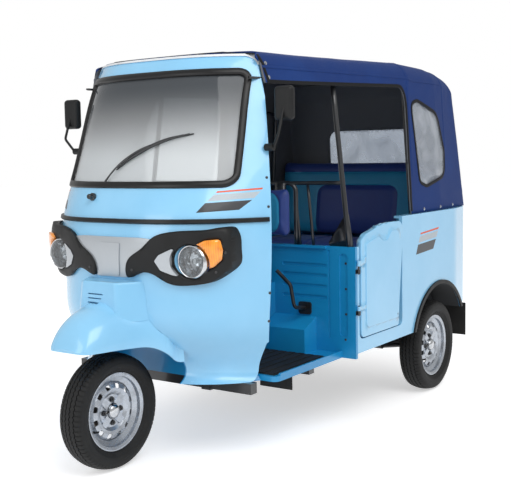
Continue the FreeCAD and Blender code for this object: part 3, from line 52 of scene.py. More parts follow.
PICTURE_WIDTH = 511.0
FILM_WIDTH = 36.0

# Studio lamps: place, point aimed at, size and power
STUDIO_LAMPS = {
    "key": ((2.2, 3.6, 4.6), (0.0, 0.2, 0.8), (4.5, 3.0), 150.0),
    "front_fill": ((6.0, -1.0, 2.6), (0.6, 0.0, 0.9), (3.0, 3.0), 60.0),
    "back_fill": ((-4.5, -3.0, 3.6), (-0.4, 0.0, 0.9), (3.5, 2.5), 60.0),
}
WORLD_GLOW = 0.62
FLOOR_GLOW = 0.5
FLOOR_REACH = 30

# Where rays at the vehicle start
FAR = 3.0

# Places on the vehicle, in metres
FRONT_X = 1.103
REAR_X = -0.817
TAIL_X = -1.330
WALL_X = 0.133
WHEEL_Y = 0.580
TYRE_R = 0.247
BODY_TOP = 0.992
LAMP = Vector((0.971, 0.375, 0.889))
WHEELS = {
    "front": (Vector((FRONT_X, 0.0, TYRE_R)), 1.0, "front_wheel"),
    "rear_left": (Vector((REAR_X, WHEEL_Y, TYRE_R)), 1.0, "rear_left_wheel"),
    "rear_right": (Vector((REAR_X, -WHEEL_Y, TYRE_R)), -1.0, "rear_right_wheel"),
}

# Wheel arch of the tub, for its underseal
ARCH_Z = 0.262
ARCH_R = 0.332

# Tyres: the wall is (distance from the middle, radius) from the bead up
PITCHES = 72
CROWN_CLEAR = 0.0005
CROWN_FALL = 3.7
GROOVES = ((0.0310, 1), (0.0105, -1), (-0.0105, 1), (-0.0310, -1))
GROOVE_DEPTH = 0.005
GROOVE_HALF = 0.0024
GROOVE_LIP = 0.0008
BLOCK_STEP = 0.0102
ZIGZAG = 0.0028
CUT_DEPTH = 0.0042
WALL_CUT = 0.0035
WALL_RIB = 0.0007
SHOULDER = (0.050, 0.042)
TYRE_WALL = [
    (0.036, 0.1546), (0.0375, 0.160), (0.0385, 0.1672), (0.0430, 0.1700), (0.0475, 0.1738),
    (0.0482, 0.1768), (0.0520, 0.1815), (0.0565, 0.1900), (0.0572, 0.1908), (0.0590, 0.1990),
    (0.0596, 0.2060), (0.0586, 0.2072), (0.0590, 0.2120), (0.0582, 0.2200), (0.0562, 0.2290),
    (0.0530, 0.2350),
]
WELD = 0.0002

# Wheel fittings: turned outlines are (radius, distance along the axis)
NUT_CIRCLE = 0.050
NUT_STAND = 0.012
VALVE_CIRCLE = 0.136
VALVE_STAND = 0.018
VALVE_TURN = 62.0
VALVE_SIZES = [0.0065, 0.0062, 0.0052, 0.0046, 0.0044, 0.0044, 0.0044, 0.0044, 0.0046, 0.0046, 0.0040]
WASHER = [(0.0, 0.0), (0.0125, 0.0), (0.0125, 0.002), (0.0, 0.002)]
NUT = [(0.0, 0.002), (0.0108, 0.002), (0.0108, 0.009), (0.0095, 0.0108), (0.0, 0.0108)]
STUD = [(0.0, 0.0105), (0.005, 0.0105), (0.005, 0.015), (0.0042, 0.016), (0.0, 0.016)]
HUB_CAP = [
    (0.0335, 0.0125), (0.0335, 0.0145), (0.0312, 0.0160), (0.0312, 0.0250), (0.0296, 0.0300),
    (0.0240, 0.0350), (0.0140, 0.0382), (0.0, 0.0394), (0.0, 0.0120),
]

# Headlamps
BOWL_SIDES = 28
BOWL_RINGS = [
    (0.0640, 0.022), (0.0600, 0.010), (0.0520, -0.008), (0.0410, -0.021), (0.0280, -0.030), (0.0140, -0.035),
]
BOWL_BACK = [(0.0140, -0.035), (0.0140, -0.039), (0.0670, -0.004), (0.0670, 0.020), (0.0640, 0.022)]
LAMP_RIM = [
    (0.0712, -0.003), (0.0712, 0.017), (0.0695, 0.0235), (0.0655, 0.0275), (0.0625, 0.0265),
    (0.0625, 0.0225), (0.0675, 0.019), (0.0675, -0.003),
]
LAMP_COVER = [
    (0.0640, 0.0235), (0.0600, 0.0285), (0.0500, 0.0330), (0.0320, 0.0368), (0.0, 0.0385), (0.0, 0.0365),
    (0.0320, 0.0348), (0.0500, 0.0310), (0.0590, 0.0268), (0.0620, 0.0235),
]
BULB = [(0.0, -0.036), (0.0130, -0.036), (0.0130, -0.028), (0.0062, -0.026), (0.0062, 0.000), (0.0, 0.003)]
BULB_SHIELD = [
    (0.0, 0.006), (0.0105, 0.004), (0.0118, -0.004), (0.0126, -0.004), (0.0112, 0.0055), (0.0, 0.0082),
]

# Seats: a field is its middle height, half width, half height and corner radius
DRIVER_FIELD = (1.035, 0.285, 0.095, 0.055)
REAR_PAD = (0.93, 0.275, 0.188, 0.060)
REAR_BAND = 1.198
BACK_SLOPE = 0.066
SEAM_EDGE = 0.0012
DRIVER_CHANNELS = (-0.07, 0.07)
REAR_CHANNELS = (-0.36, -0.12, 0.12, 0.36)

# Canopy: outlines of the opening and the windows as (place, height) before the cover is pulled tight
OPENING_BACK = FRONT_X - 1.622
OPENING = ((FRONT_X, 1.548), (FRONT_X - 0.5, 1.553), (OPENING_BACK, 1.586), (OPENING_BACK + 0.014, 0.9))
OPENING_RADIUS = 0.070
OPENING_FRONT = 0.556
WINDOW = [
    (-0.587, 1.560), (-0.662, 1.574), (-0.909, 1.512), (-0.999, 1.311), (-0.981, 1.188), (-0.723, 1.138),
    (-0.643, 1.160),
]
WINDOW_RADII = [0.045, 0.060, 0.110, 0.060, 0.060, 0.030, 0.030]
REAR_WINDOW = [(-0.300, 1.190), (0.300, 1.190), (0.280, 1.450), (-0.280, 1.450)]
REAR_WINDOW_RADIUS = 0.060
BOWS = (FRONT_X - 1.656, FRONT_X - 2.130)
CANOPY_FRONT = 0.693
EDGE_RISE = 0.062
EDGE_FORWARD = 0.067
EDGE_INWARD = 0.010
FOLD_Z = 1.70
CANOPY_HEIGHT = 0.807
LEAN = 0.063
DICE = 0.036
BINDING_HALF = 0.0085
BINDING_STEP = 0.012
STITCH_STEP = 0.0085

# Guard posts and doors
POST_FOOT_Z = 0.887
POST_BEND_Z = 1.175
POST_TOP_Z = 1.572
POST_NEW_TOP_Z = 1.634
DOOR_X = WALL_X - 0.044
DOOR_OLD_TOP = ((DOOR_X, 0.880), (DOOR_X - 0.17, 0.886), (DOOR_X - 0.262, 0.974), (DOOR_X - 0.44, 0.970))
DOOR_NEW_TOP = ((DOOR_X, 0.908), (DOOR_X - 0.046, 0.934), (DOOR_X - 0.23, 0.972), (DOOR_X - 0.44, 0.972))
DOOR_RAKE = 0.046
DOORWAY_LOW = (-0.351, 0.30, 0.930)
DOORWAY_HIGH = (0.15, 0.70, 1.02)

# Cowl: its nose at lamp height, how far it sweeps back and its half width
NOSE_X = FRONT_X - 0.044
COWL_SWEEP = 0.337
COWL_HALF = 0.585

# Cowl: windscreen outline as (side distance, height), lamp surrounds, rubber strips
SCREEN = [(-0.495, 1.186), (0.495, 1.186), (0.463, 1.682), (-0.463, 1.682)]
SCREEN_RADIUS = 0.052
GASKET_INSET = 0.0135
GASKET_SINK = 0.009
WAIST_Z = 1.048
WAIST_END_X = 0.722
WAIST_REACH = 91.0
BEZEL_END = 0.516
BEZEL_LIFT = 1.9

# Coloured bars, as (side distance, height) on the cowl and (place, height) on the tub
COWL_BARS = {
    "dark": [(0.372, 1.084), (0.500, 1.092), (0.530, 1.130), (0.395, 1.122)],
    "pale": [(0.400, 1.129), (0.534, 1.138), (0.548, 1.164), (0.417, 1.155)],
    "warm": [(0.421, 1.162), (0.550, 1.172), (0.552, 1.179), (0.425, 1.169)],
}
TUB_BARS = {
    "dark": [(-0.520, 0.780), (-0.735, 0.792), (-0.770, 0.842), (-0.545, 0.830)],
    "pale": [(-0.550, 0.840), (-0.776, 0.853), (-0.798, 0.885), (-0.568, 0.872)],
    "warm": [(-0.573, 0.881), (-0.802, 0.894), (-0.808, 0.904), (-0.578, 0.890)],
}

# Screws, press studs and wiper
HEADER_SCREWS = (-0.36, -0.24, -0.12, 0.0, 0.12, 0.24, 0.36)
BEZEL_SCREWS = ((0.500, 0.925), (0.462, 0.846), (0.120, 0.850))
WALL_SCREWS = (0.44, 0.56, 0.68, 0.80)
COWL_SCREWS = (1.10, 1.22, 0.62, 0.74)
EDGE_STUDS = (1.640, 1.700)
HEM_STUDS = (0.04, 0.12, 0.20, 0.30, 0.38, 0.46, 0.54, 0.62, 0.70, 0.80, 0.88, 0.96)
SCREW_HEAD = [
    (0.0, -0.001), (0.0052, -0.001), (0.0052, 0.0006), (0.0046, 0.0019), (0.0030, 0.0027), (0.0, 0.0029),
]
SNAP = [
    (0.0, -0.001), (0.0085, -0.001), (0.0085, 0.0012), (0.0062, 0.0016), (0.0058, 0.0036), (0.0035, 0.0046),
    (0.0, 0.0049),
]
SPINDLE = [
    (0.0, -0.006), (0.017, -0.006), (0.017, 0.004), (0.0125, 0.008), (0.0115, 0.022), (0.008, 0.026),
    (0.0, 0.0265),
]
WIPER_ARM = [
    (-0.160, 1.142), (-0.118, 1.190), (-0.070, 1.243), (-0.020, 1.292), (0.050, 1.333), (0.115, 1.357),
]
WIPER_BRIDGE = [(-0.030, 1.281), (0.040, 1.322), (0.115, 1.356), (0.190, 1.382), (0.262, 1.399)]
WIPER_YOKES = [[(-0.052, 1.267), (0.010, 1.305)], [(0.215, 1.388), (0.285, 1.404)]]
WIPER_EDGE = [(-0.062, 1.260), (0.0, 1.300), (0.060, 1.331), (0.130, 1.361), (0.210, 1.387), (0.296, 1.405)]

# Six faces of a block whose corners run round below and then above
BLOCK_FACES = [(3, 2, 1, 0), (4, 5, 6, 7), (0, 1, 5, 4), (1, 2, 6, 5), (2, 3, 7, 6), (3, 0, 4, 7)]


def paint(code):
    """Linear colour of a six-figure sRGB code."""
    parts = [int(code[i:i + 2], 16) / 255 for i in (0, 2, 4)]
    return tuple(c / 12.92 if c < 0.04045 else ((c + 0.055) / 1.055) ** 2.4 for c in parts) + (1.0,)


# Shader and geometry sockets in plain arithmetic
class Tap:
    """An output socket that adds nodes as it is added, multiplied or mixed."""

    def __init__(self, tree, socket):
        self.tree = tree
        self.socket = socket

    def node(self, kind, inputs=None, out=0, **settings):
        """Any other node, with its settings and its inputs by name or place."""
        made = self.tree.nodes.new(kind)
        for key, value in settings.items():
            setattr(made, key, value)
        for key, value in (inputs or {}).items():
            feed(self.tree, made.inputs[key], value)
        return Tap(self.tree, made.outputs[out])

    def sum(self, operation, *terms, clamp=False):
        return self.node("ShaderNodeMath", dict(enumerate(terms)), operation=operation, use_clamp=clamp)

    def __add__(self, other):
        return self.sum("ADD", self, other)

    def __sub__(self, other):
        return self.sum("SUBTRACT", self, other)

    def __mul__(self, other):
        return self.sum("MULTIPLY", self, other)

    def __truediv__(self, other):
        return self.sum("DIVIDE", self, other)

    def __radd__(self, other):
        return self.sum("ADD", other, self)

    def __rsub__(self, other):
        return self.sum("SUBTRACT", other, self)

    def __rmul__(self, other):
        return self.sum("MULTIPLY", other, self)

    def __rtruediv__(self, other):
        return self.sum("DIVIDE", other, self)

    def __neg__(self):
        return self.sum("MULTIPLY", self, -1.0)

    def __abs__(self):
        return self.sum("ABSOLUTE", self)

    def axis(self, index):
        return self.node("ShaderNodeSeparateXYZ", {0: self}, out=index)

    def vector(self, operation, other, out=0):
        return self.node("ShaderNodeVectorMath", {0: self, 1: other}, out=out, operation=operation)

    def ramp(self, low, high):
        """0 below the low value and 1 above the high one, with a smooth turn between."""
        return self.node("ShaderNodeMapRange", {0: self, 1: low, 2: high}, interpolation_type="SMOOTHSTEP")

    def mix(self, first, second):
        """The first colour where this is 0 and the second where it is 1."""
        return self.node("ShaderNodeMix", {0: self, 6: first, 7: second}, out=2, data_type="RGBA")

    def noise(self, scale, detail=3.0, rough=0.55, warp=0.0):
        inputs = {"Vector": self, "Scale": scale, "Detail": detail, "Roughness": rough, "Distortion": warp}
        return self.node("ShaderNodeTexNoise", inputs)

    def cells(self, scale, feature="F1"):
        return self.node("ShaderNodeTexVoronoi", {"Vector": self, "Scale": scale}, feature=feature)

    def wave(self, scale, direction="X", warp=0.0, profile="SIN"):
        inputs = {"Vector": self, "Scale": scale, "Distortion": warp, "Detail": 1.0}
        settings = {"wave_type": "BANDS", "bands_direction": direction, "wave_profile": profile}
        return self.node("ShaderNodeTexWave", inputs, **settings)


def feed(tree, socket, value):
    """Link or set one input."""
    if isinstance(value, Tap):
        tree.links.new(value.socket, socket)
    elif hasattr(socket, "default_value"):
        socket.default_value = value


class Finish:
    """A material being made: its place on the object, its shader and its relief."""

    def __init__(self, name, **fixed):
        self.material = bpy.data.materials.new(name)
        self.material.use_nodes = True
        self.tree = self.material.node_tree
        self.shader = self.tree.nodes["Principled BSDF"]
        coordinates = self.tree.nodes.new("ShaderNodeTexCoord")
        self.place = Tap(self.tree, coordinates.outputs["Object"])
        self.normal = Tap(self.tree, coordinates.outputs["Normal"])
        self.set(**fixed)

    def set(self, **inputs):
        for key, value in inputs.items():
            feed(self.tree, self.shader.inputs[key.replace("_", " ")], value)
        return self

    def relief(self, height, strength=0.3, distance=0.001):
        inputs = {"Height": height, "Strength": strength, "Distance": distance}
        return self.set(Normal=self.place.node("ShaderNodeBump", inputs))


# Finishes
def gloss_paint(name, colour, shade, rough=0.2, coat=0.6, dust=0.10):
    """Sprayed gloss with slight orange peel, soft cloudiness and dust low down."""
    made = Finish(name, Coat_Roughness=0.04)
    cloud = made.place.noise(2.4, 4.0).ramp(0.3, 0.75)
    base = cloud.mix(paint(colour), paint(shade))
    low = (0.62 - made.place.axis(2)).ramp(0.0, 0.3) * made.place.noise(9.0, 6.0, 0.7).ramp(0.42, 0.8)
    base = (low * dust).mix(base, paint("8D8778"))
    speck = made.place.noise(60.0, 5.0, 0.7)
    made.set(Base_Color=base, Coat_Weight=coat - 0.5 * low * dust)
    made.set(Roughness=rough + 0.10 * speck + 0.25 * low * dust)
    return made.relief(made.place.noise(650.0, 2.0), 0.06, 0.0004).material


def tub_paint():
    """Tub sheet: light outside, deeper inside and dark underseal in the wheel arches."""
    made = Finish("tub_paint", Coat_Roughness=0.05)
    x, y, z = (made.place.axis(i) for i in range(3))
    nx, ny, nz = (made.normal.axis(i) for i in range(3))
    outward = (ny * y + nx * (x + 0.6)).ramp(0.04, 0.10)
    rim = z.ramp(0.970, 0.974)
    outer = outward.sum("MAXIMUM", outward, rim)
    reach_x = x - REAR_X
    reach_z = z - ARCH_Z
    arch = (reach_x * reach_x + reach_z * reach_z).ramp((ARCH_R + 0.0025) ** 2, ARCH_R ** 2)
    inboard = abs(y).ramp(0.6535, 0.652)
    hidden = inboard.sum("MAXIMUM", arch * inboard * abs(y).ramp(0.48, 0.49), (-nz).ramp(0.5, 0.7))
    cloud = made.place.noise(2.4, 4.0).ramp(0.3, 0.75)
    light = cloud.mix(paint("86C6EC"), paint("92CEF2"))
    deep = cloud.mix(paint("0E84BE"), paint("1690CA"))
    base = hidden.mix(outer.mix(deep, light), paint("1B1E22"))
    grit = made.place.noise(220.0, 4.0, 0.7)
    made.set(Base_Color=base, Roughness=0.2 + 0.1 * grit + 0.5 * hidden, Coat_Weight=0.6 - 0.6 * hidden)
    return made.relief(made.place.noise(650.0, 2.0) + hidden * grit * 4.0, 0.06, 0.0004).material


def inner_paint():
    """Deep blue inside sheet, scuffed low down."""
    made = Finish("inner_paint", Coat_Roughness=0.1)
    cloud = made.place.noise(3.0, 4.0).ramp(0.3, 0.7)
    low = (0.6 - made.place.axis(2)).ramp(0.0, 0.2)
    scuff = made.place.noise(70.0, 6.0, 0.75, 1.5).ramp(0.62, 0.72) * low
    base = (scuff * 0.35).mix(cloud.mix(paint("0E84BE"), paint("1890C8")), paint("5C7C90"))
    made.set(Base_Color=base, Roughness=0.28 + 0.15 * made.place.noise(40.0), Coat_Weight=0.35 - 0.3 * scuff)
    return made.relief(made.place.noise(500.0, 2.0), 0.08, 0.0005).material


def grained_plastic(name, colour, shade, rough=0.42, grain=900.0, depth=0.25):
    """Moulded plastic with a fine leathery grain and a faint scuff."""
    made = Finish(name, Specular_IOR_Level=0.32)
    patch = made.place.noise(14.0, 5.0).ramp(0.35, 0.8)
    grainy = made.place.cells(grain)
    made.set(Base_Color=patch.mix(paint(colour), paint(shade)))
    made.set(Roughness=rough + 0.12 * patch - 0.06 * grainy)
    return made.relief(grainy + 0.4 * made.place.noise(grain * 0.5), depth, 0.0003).material


def soft_rubber(name, colour, shade, rough=0.62):
    """Matt rubber with a slight grey bloom."""
    made = Finish(name, Specular_IOR_Level=0.4)
    bloom = made.place.noise(11.0, 6.0, 0.7).ramp(0.4, 0.8)
    made.set(Base_Color=bloom.mix(paint(colour), paint(shade)), Roughness=rough + 0.16 * bloom)
    return made.relief(made.place.noise(700.0, 4.0, 0.7), 0.2, 0.0003).material


def coated_steel():
    """Black powder coat with a pebbled skin and small bright chips."""
    made = Finish("coated_steel", Coat_Roughness=0.12)
    chip = made.place.noise(120.0, 5.0, 0.7).ramp(0.74, 0.77)
    patch = made.place.noise(8.0, 4.0)
    base = chip.mix(patch.mix(paint("131416"), paint("24262A")), paint("6E6E6C"))
    made.set(Base_Color=base, Roughness=0.26 + 0.14 * patch, Metallic=chip, Coat_Weight=0.45 - 0.4 * chip)
    return made.relief(made.place.noise(520.0, 3.0), 0.12, 0.0004).material


def silver_paint():
    """Metallic silver lacquer with fine flake."""
    made = Finish("silver_paint", Metallic=0.55, Coat_Roughness=0.06)
    flake = made.place.cells(2600.0)
    patch = made.place.noise(6.0, 3.0)
    made.set(Base_Color=flake.mix(paint("9AA0A6"), paint("C3C8CC")))
    made.set(Roughness=0.3 + 0.1 * patch, Coat_Weight=0.5 - 0.1 * patch)
    return made.relief(flake, 0.05, 0.0002).material


def rim_steel():
    """Silver painted pressed steel with patches of brake dust."""
    made = Finish("rim_steel", Metallic=0.8)
    dust = made.place.noise(26.0, 6.0, 0.75).ramp(0.42, 0.75)
    base = (dust * 0.4).mix(paint("B4BAC2"), paint("6F6A66"))
    made.set(Base_Color=base, Roughness=0.26 + 0.2 * dust)
    return made.relief(made.place.noise(420.0, 3.0), 0.08, 0.0004).material


def cast_iron(name, colour, shade, metal=0.6, rough=0.5):
    """Cast or forged metal, pitted and stained."""
    made = Finish(name)
    pit = made.place.noise(160.0, 6.0, 0.75)
    stain = made.place.noise(12.0, 5.0, 0.7).ramp(0.45, 0.75)
    made.set(Base_Color=stain.mix(paint(colour), paint(shade)))
    made.set(Metallic=metal - 0.4 * stain, Roughness=rough + 0.2 * pit)
    return made.relief(pit, 0.35, 0.0006).material


def bright_metal(name, colour, rough=0.12):
    """Plated or polished metal with a little haze."""
    made = Finish(name, Metallic=1.0)
    haze = made.place.noise(55.0, 5.0, 0.7)
    made.set(Base_Color=haze.mix(paint(colour), paint("8F9296")), Roughness=rough + 0.14 * haze)
    return made.relief(made.place.noise(900.0, 2.0), 0.03, 0.0002).material


def tyre_rubber():
    """Tread compound, with patches of greyer dust."""
    made = Finish("tyre_rubber", Specular_IOR_Level=0.35)
    dust = made.place.noise(30.0, 7.0, 0.75).ramp(0.4, 0.85)
    base = (dust * 0.6).mix(paint("131415"), paint("333230"))
    made.set(Base_Color=base, Roughness=0.62 + 0.2 * dust)
    return made.relief(made.place.noise(420.0, 5.0, 0.75), 0.3, 0.0004).material


def see_through(name, tint, cover, share, rough=0.02):
    """Thin clear pane: tinted light passes, with a share of gloss that grows at low angles."""
    material = bpy.data.materials.new(name)
    material.use_nodes = True
    tree = material.node_tree
    tree.nodes.clear()
    place = Tap(tree, tree.nodes.new("ShaderNodeTexCoord").outputs["Object"])
    body = place.node("ShaderNodeBsdfTransparent", {"Color": tint(place)})
    smear = place.noise(12.0, 5.0, 0.7)
    skin = {"Base Color": cover(place), "Roughness": rough + 0.05 * smear}
    gloss = place.node("ShaderNodeBsdfPrincipled", skin)
    edge = place.node("ShaderNodeFresnel", {"IOR": 1.45})
    mixed = place.node("ShaderNodeMixShader", {0: share(place, edge), 1: body, 2: gloss})
    tree.links.new(mixed.socket, tree.nodes.new("ShaderNodeOutputMaterial").inputs["Surface"])
    return material


def pane_glass():
    """Windscreen: pale at its foot, with a painted grey reflection band towards the top."""
    def tint(place):
        # Painted reflection: the light let through turns grey towards the top
        return place.axis(2).ramp(1.30, 1.62).mix(paint("E9EDEF"), paint("8E9499"))

    def cover(place):
        # Painted reflection: the gloss colour turns dark grey towards the top
        return place.axis(2).ramp(1.28, 1.62).mix(paint("EDEFF0"), paint("5B6065"))

    def share(place, edge):
        # Painted reflection: the share of gloss grows towards the top
        return 0.34 + 0.24 * place.axis(2).ramp(1.25, 1.6) + 0.5 * edge

    return see_through("pane_glass", tint, cover, share)


def clear_lens():
    """Lamp glass, clear at the middle and glossy at its rim."""
    def tint(place):
        return place.noise(20.0).mix(paint("F6F8F9"), paint("EEF1F3"))

    def cover(place):
        return place.noise(20.0).mix(paint("FFFFFF"), paint("F2F4F6"))

    return see_through("clear_lens", tint, cover, lambda place, edge: 0.06 + edge)


def window_film():
    """Soft clear vinyl, milky and slightly creased."""
    def veil(place):
        return place.noise(3.0, 4.0).mix(paint("D2D8E0"), paint("E6EAEF"))

    def share(place, edge):
        crease = place.noise(5.0, 3.0, 0.5, 1.2).ramp(0.35, 0.75)
        return 0.22 + 0.2 * crease + 0.3 * edge

    return see_through("window_film", veil, veil, share, 0.12)


def lens_plastic(name, colour, deep, scale=55.0):
    """Coloured lamp lens with moulded flutes behind a clear skin."""
    made = Finish(name, Coat_Weight=1.0, Coat_Roughness=0.03, Specular_IOR_Level=0.6)
    flute = made.place.wave(scale, "Y", 0.2)
    spark = made.place.cells(34.0)
    base = (0.25 + flute * 0.3 + spark * 0.6).mix(paint(deep), paint(colour))
    made.set(Base_Color=base, Roughness=0.12 + 0.1 * flute)
    made.set(Emission_Color=(0.3 + flute * 0.4).mix(paint(deep), paint(colour)), Emission_Strength=0.10)
    return made.relief(flute, 0.15, 0.0008).material


def vinyl(name, zones, grain=520.0):
    """Seat vinyl: a leathery grain over one or more colour zones."""
    made = Finish(name, Specular_IOR_Level=0.4, Sheen_Weight=0.08)
    base = zones(made.place)
    crease = made.place.noise(9.0, 5.0, 0.6, 0.8)
    pebble = made.place.cells(grain)
    fade = crease.ramp(0.35, 0.75) * 0.16
    made.set(Base_Color=fade.mix(base, paint("27508F")), Roughness=0.40 + 0.14 * crease - 0.08 * pebble)
    return made.relief(pebble * 0.6 + crease * 0.8, 0.28, 0.0007).material


def ink(name, colour, shade):
    """Printed vinyl film: flat colour with a faint grain and a thin clear coat."""
    made = Finish(name, Coat_Weight=0.3, Coat_Roughness=0.1)
    speck = made.place.noise(420.0, 3.0, 0.7)
    made.set(Base_Color=speck.ramp(0.3, 0.8).mix(paint(colour), paint(shade)), Roughness=0.35 + 0.12 * speck)
    return made.relief(speck, 0.05, 0.0002).material


def plain_zone(colour, shade):
    """One cloudy colour over the whole piece."""
    return lambda place: place.noise(5.0, 4.0).ramp(0.3, 0.7).mix(paint(colour), paint(shade))


def canopy_cloth(name, colour, shade, cover):
    """Coated canvas: plain weave under a vinyl skin, with soft rubbed folds."""
    made = Finish(name, Specular_IOR_Level=0.18)
    warp = made.place.wave(260.0, "X")
    weft = made.place.wave(260.0, "Z") + made.place.wave(260.0, "Y")
    fold = made.place.noise(4.0, 5.0, 0.6, 0.6)
    rub = fold.ramp(0.45, 0.8) * 0.35
    made.set(Base_Color=rub.mix(paint(colour), paint(shade)), Roughness=cover + 0.14 * fold)
    return made.relief(warp * 0.5 + weft * 0.3 + fold * 1.5, 0.22, 0.0006).material


# Plain numbers
def clamped(value):
    """The value kept between 0 and 1."""
    return min(1.0, max(0.0, value))


def ease(value, low, high):
    """0 below the low value and 1 above the high one, with a smooth turn between."""
    share = clamped((value - low) / (high - low))
    return share * share * (3 - 2 * share)


def between(value, knots):
    """Straight-line reading of a short list of (value, result) pairs, highest value first."""
    for (a, first), (b, second) in zip(knots, knots[1:]):
        if value >= b:
            return first + (second - first) * clamped((value - a) / (b - a))
    return knots[-1][1]


# Meshes
def mesh_of(name, points, faces, angle=35.0):
    """A checked mesh with its faces turned outward."""
    mesh = bpy.data.meshes.new(name)
    mesh.from_pydata([tuple(p) for p in points], [], faces)
    mesh.validate()
    build = bmesh.new()
    build.from_mesh(mesh)
    bmesh.ops.recalc_face_normals(build, faces=build.faces)
    build.to_mesh(mesh)
    build.free()
    soften(mesh, angle)
    return mesh


def soften(mesh, angle=35.0):
    """Smooth shading, with an edge kept where faces meet at more than the angle."""
    mesh.shade_smooth()
    mesh.set_sharp_from_angle(angle=math.radians(angle))


def piece(name, mesh, finish, body="chassis", instead_of=None):
    """A finished object in its finish, riding on its body, in a node's place where one is named."""
    made = bpy.data.objects.new(name, mesh)
    bpy.context.scene.collection.objects.link(made)
    mesh.materials.clear()
    for item in finish if isinstance(finish, list) else [finish]:
        mesh.materials.append(item)
    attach(made, body)
    if instead_of:
        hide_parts(instead_of)
    return made


def both_sides(points, faces):
    """The drawn shape and its mirror image across the middle."""
    count = len(points)
    twin = [Vector((p[0], -p[1], p[2])) for p in points]
    return list(points) + twin, list(faces) + [tuple(i + count for i in reversed(f)) for f in faces]


def gather(parts):
    """Several (points, faces) as one."""
    points, faces = [], []
    for part_points, part_faces in parts:
        start = len(points)
        points.extend(part_points)
        faces.extend(tuple(i + start for i in f) for f in part_faces)
    return points, faces


def built(name, parts, finish, body="chassis", instead_of=None, angle=35.0):
    """One piece from several (points, faces)."""
    return piece(name, mesh_of(name, *gather(parts), angle), finish, body, instead_of)


def frames_along(path, closed=False):
    """A smoothly carried pair of cross directions for each point of a path."""
    count = len(path)
    result = []
    side = None
    for i, point in enumerate(path):
        after = path[(i + 1) % count] if closed else path[min(i + 1, count - 1)]
        before = path[i - 1] if closed else path[max(i - 1, 0)]
        way = (Vector(after) - Vector(before)).normalized()
        if side is None:
            start = Vector((0, 0, 1)) if abs(way.z) < 0.9 else Vector((1, 0, 0))
            side = (start - way * start.dot(way)).normalized()
        else:
            side = (side - way * side.dot(way)).normalized()
        result.append((Vector(point), side, way.cross(side).normalized()))
    return result


def tube(path, radius, sides=10, closed=False, flat=1.0):
    """Round or flattened bar along a path; radius may be a number or a list."""
    points, faces = [], []
    stations = frames_along(path, closed)
    for i, (centre, side, cross) in enumerate(stations):
        size = radius[i] if isinstance(radius, (list, tuple)) else radius
        for j in range(sides):
            turn = 2 * math.pi * j / sides
            points.append(centre + side * (size * math.cos(turn)) + cross * (size * flat * math.sin(turn)))
    count = len(stations)
    for i in range(count if closed else count - 1):
        a, b = i * sides, ((i + 1) % count) * sides
        for j in range(sides):
            k = (j + 1) % sides
            faces.append((a + j, a + k, b + k, b + j))
    if not closed:
        faces.append(tuple(range(sides - 1, -1, -1)))
        faces.append(tuple((count - 1) * sides + j for j in range(sides)))
    return points, faces


def lathe(profile, centre=(0, 0, 0), axis=(0, 0, 1), sides=48, closed=True):
    """Turned body about an axis from (radius, distance along) pairs; radius 0 makes a pole."""
    centre, axis = Vector(centre), Vector(axis).normalized()
    start = Vector((0, 0, 1)) if abs(axis.z) < 0.9 else Vector((1, 0, 0))
    side = (start - axis * start.dot(axis)).normalized()
    cross = axis.cross(side)
    points, rows, faces = [], [], []
    for radius, along in profile:
        if radius < 1e-6:
            rows.append([len(points)])
            points.append(centre + axis * along)
            continue
        rows.append(list(range(len(points), len(points) + sides)))
        for j in range(sides):
            turn = 2 * math.pi * j / sides
            way = side * math.cos(turn) + cross * math.sin(turn)
            points.append(centre + axis * along + way * radius)
    pairs = list(zip(rows, rows[1:]))
    if closed and len(rows[0]) > 1 and len(rows[-1]) > 1:
        pairs.append((rows[-1], rows[0]))
    for low, high in pairs:
        if len(low) == 1 and len(high) == 1:
            continue
        for j in range(sides):
            k = (j + 1) % sides
            if len(low) == 1:
                faces.append((low[0], high[k], high[j]))
            elif len(high) == 1:
                faces.append((low[j], low[k], high[0]))
            else:
                faces.append((low[j], low[k], high[k], high[j]))
    return points, faces


def eased(points, steps=8):
    """A smooth line through the given points."""
    points = [Vector(p) for p in points]
    ends = [points[0] * 2 - points[1]] + points + [points[-1] * 2 - points[-2]]
    line = []
    for i in range(1, len(ends) - 2):
        a, b, c, d = ends[i - 1:i + 3]
        bend, twist = 2 * a - 5 * b + 4 * c - d, 3 * b - a - 3 * c + d
        for step in range(steps):
            t = step / steps
            line.append(0.5 * (2 * b + (c - a) * t + bend * t ** 2 + twist * t ** 3))
    line.append(points[-1])
    return line


class Skin:
    """The outer surface of one or more meshes, for laying things on it."""

    def __init__(self, *meshes):
        points, faces = [], []
        for mesh in meshes:
            start = len(points)
            points.extend(v.co.copy() for v in mesh.vertices)
            faces.extend(tuple(i + start for i in p.vertices) for p in mesh.polygons)
        self.tree = BVHTree.FromPolygons(points, faces)

    def hit(self, origin, way):
        """The first place met along a way and its outward direction, or None."""
        point, normal, _, _ = self.tree.ray_cast(Vector(origin), Vector(way).normalized())
        if point is None:
            return None
        if normal.dot(Vector(way)) > 0:
            normal = -normal
        return point, normal

    def front(self, y, z):
        return self.hit((FAR, y, z), (-1, 0, 0))

    def side(self, x, z, side=1):
        return self.hit((x, FAR * side, z), (0, -side, 0))


def skin_of(*names):
    """The outer surface of one or more nodes."""
    return Skin(*(NODES[name].data for name in names))


# Repeats grown by geometry nodes
def empty_tree(name, sizes):
    """A node tree with its named inputs, and a Tap for each."""
    tree = bpy.data.node_groups.new(name, "GeometryNodeTree")
    tree.interface.new_socket("Geometry", in_out="INPUT", socket_type="NodeSocketGeometry")
    for label, kind in sizes:
        tree.interface.new_socket(label, in_out="INPUT", socket_type="NodeSocket" + kind)
    tree.interface.new_socket("Geometry", in_out="OUTPUT", socket_type="NodeSocketGeometry")
    group = tree.nodes.new("NodeGroupInput")
    taps = {socket.name: Tap(tree, socket) for socket in group.outputs if socket.name}
    return tree, taps


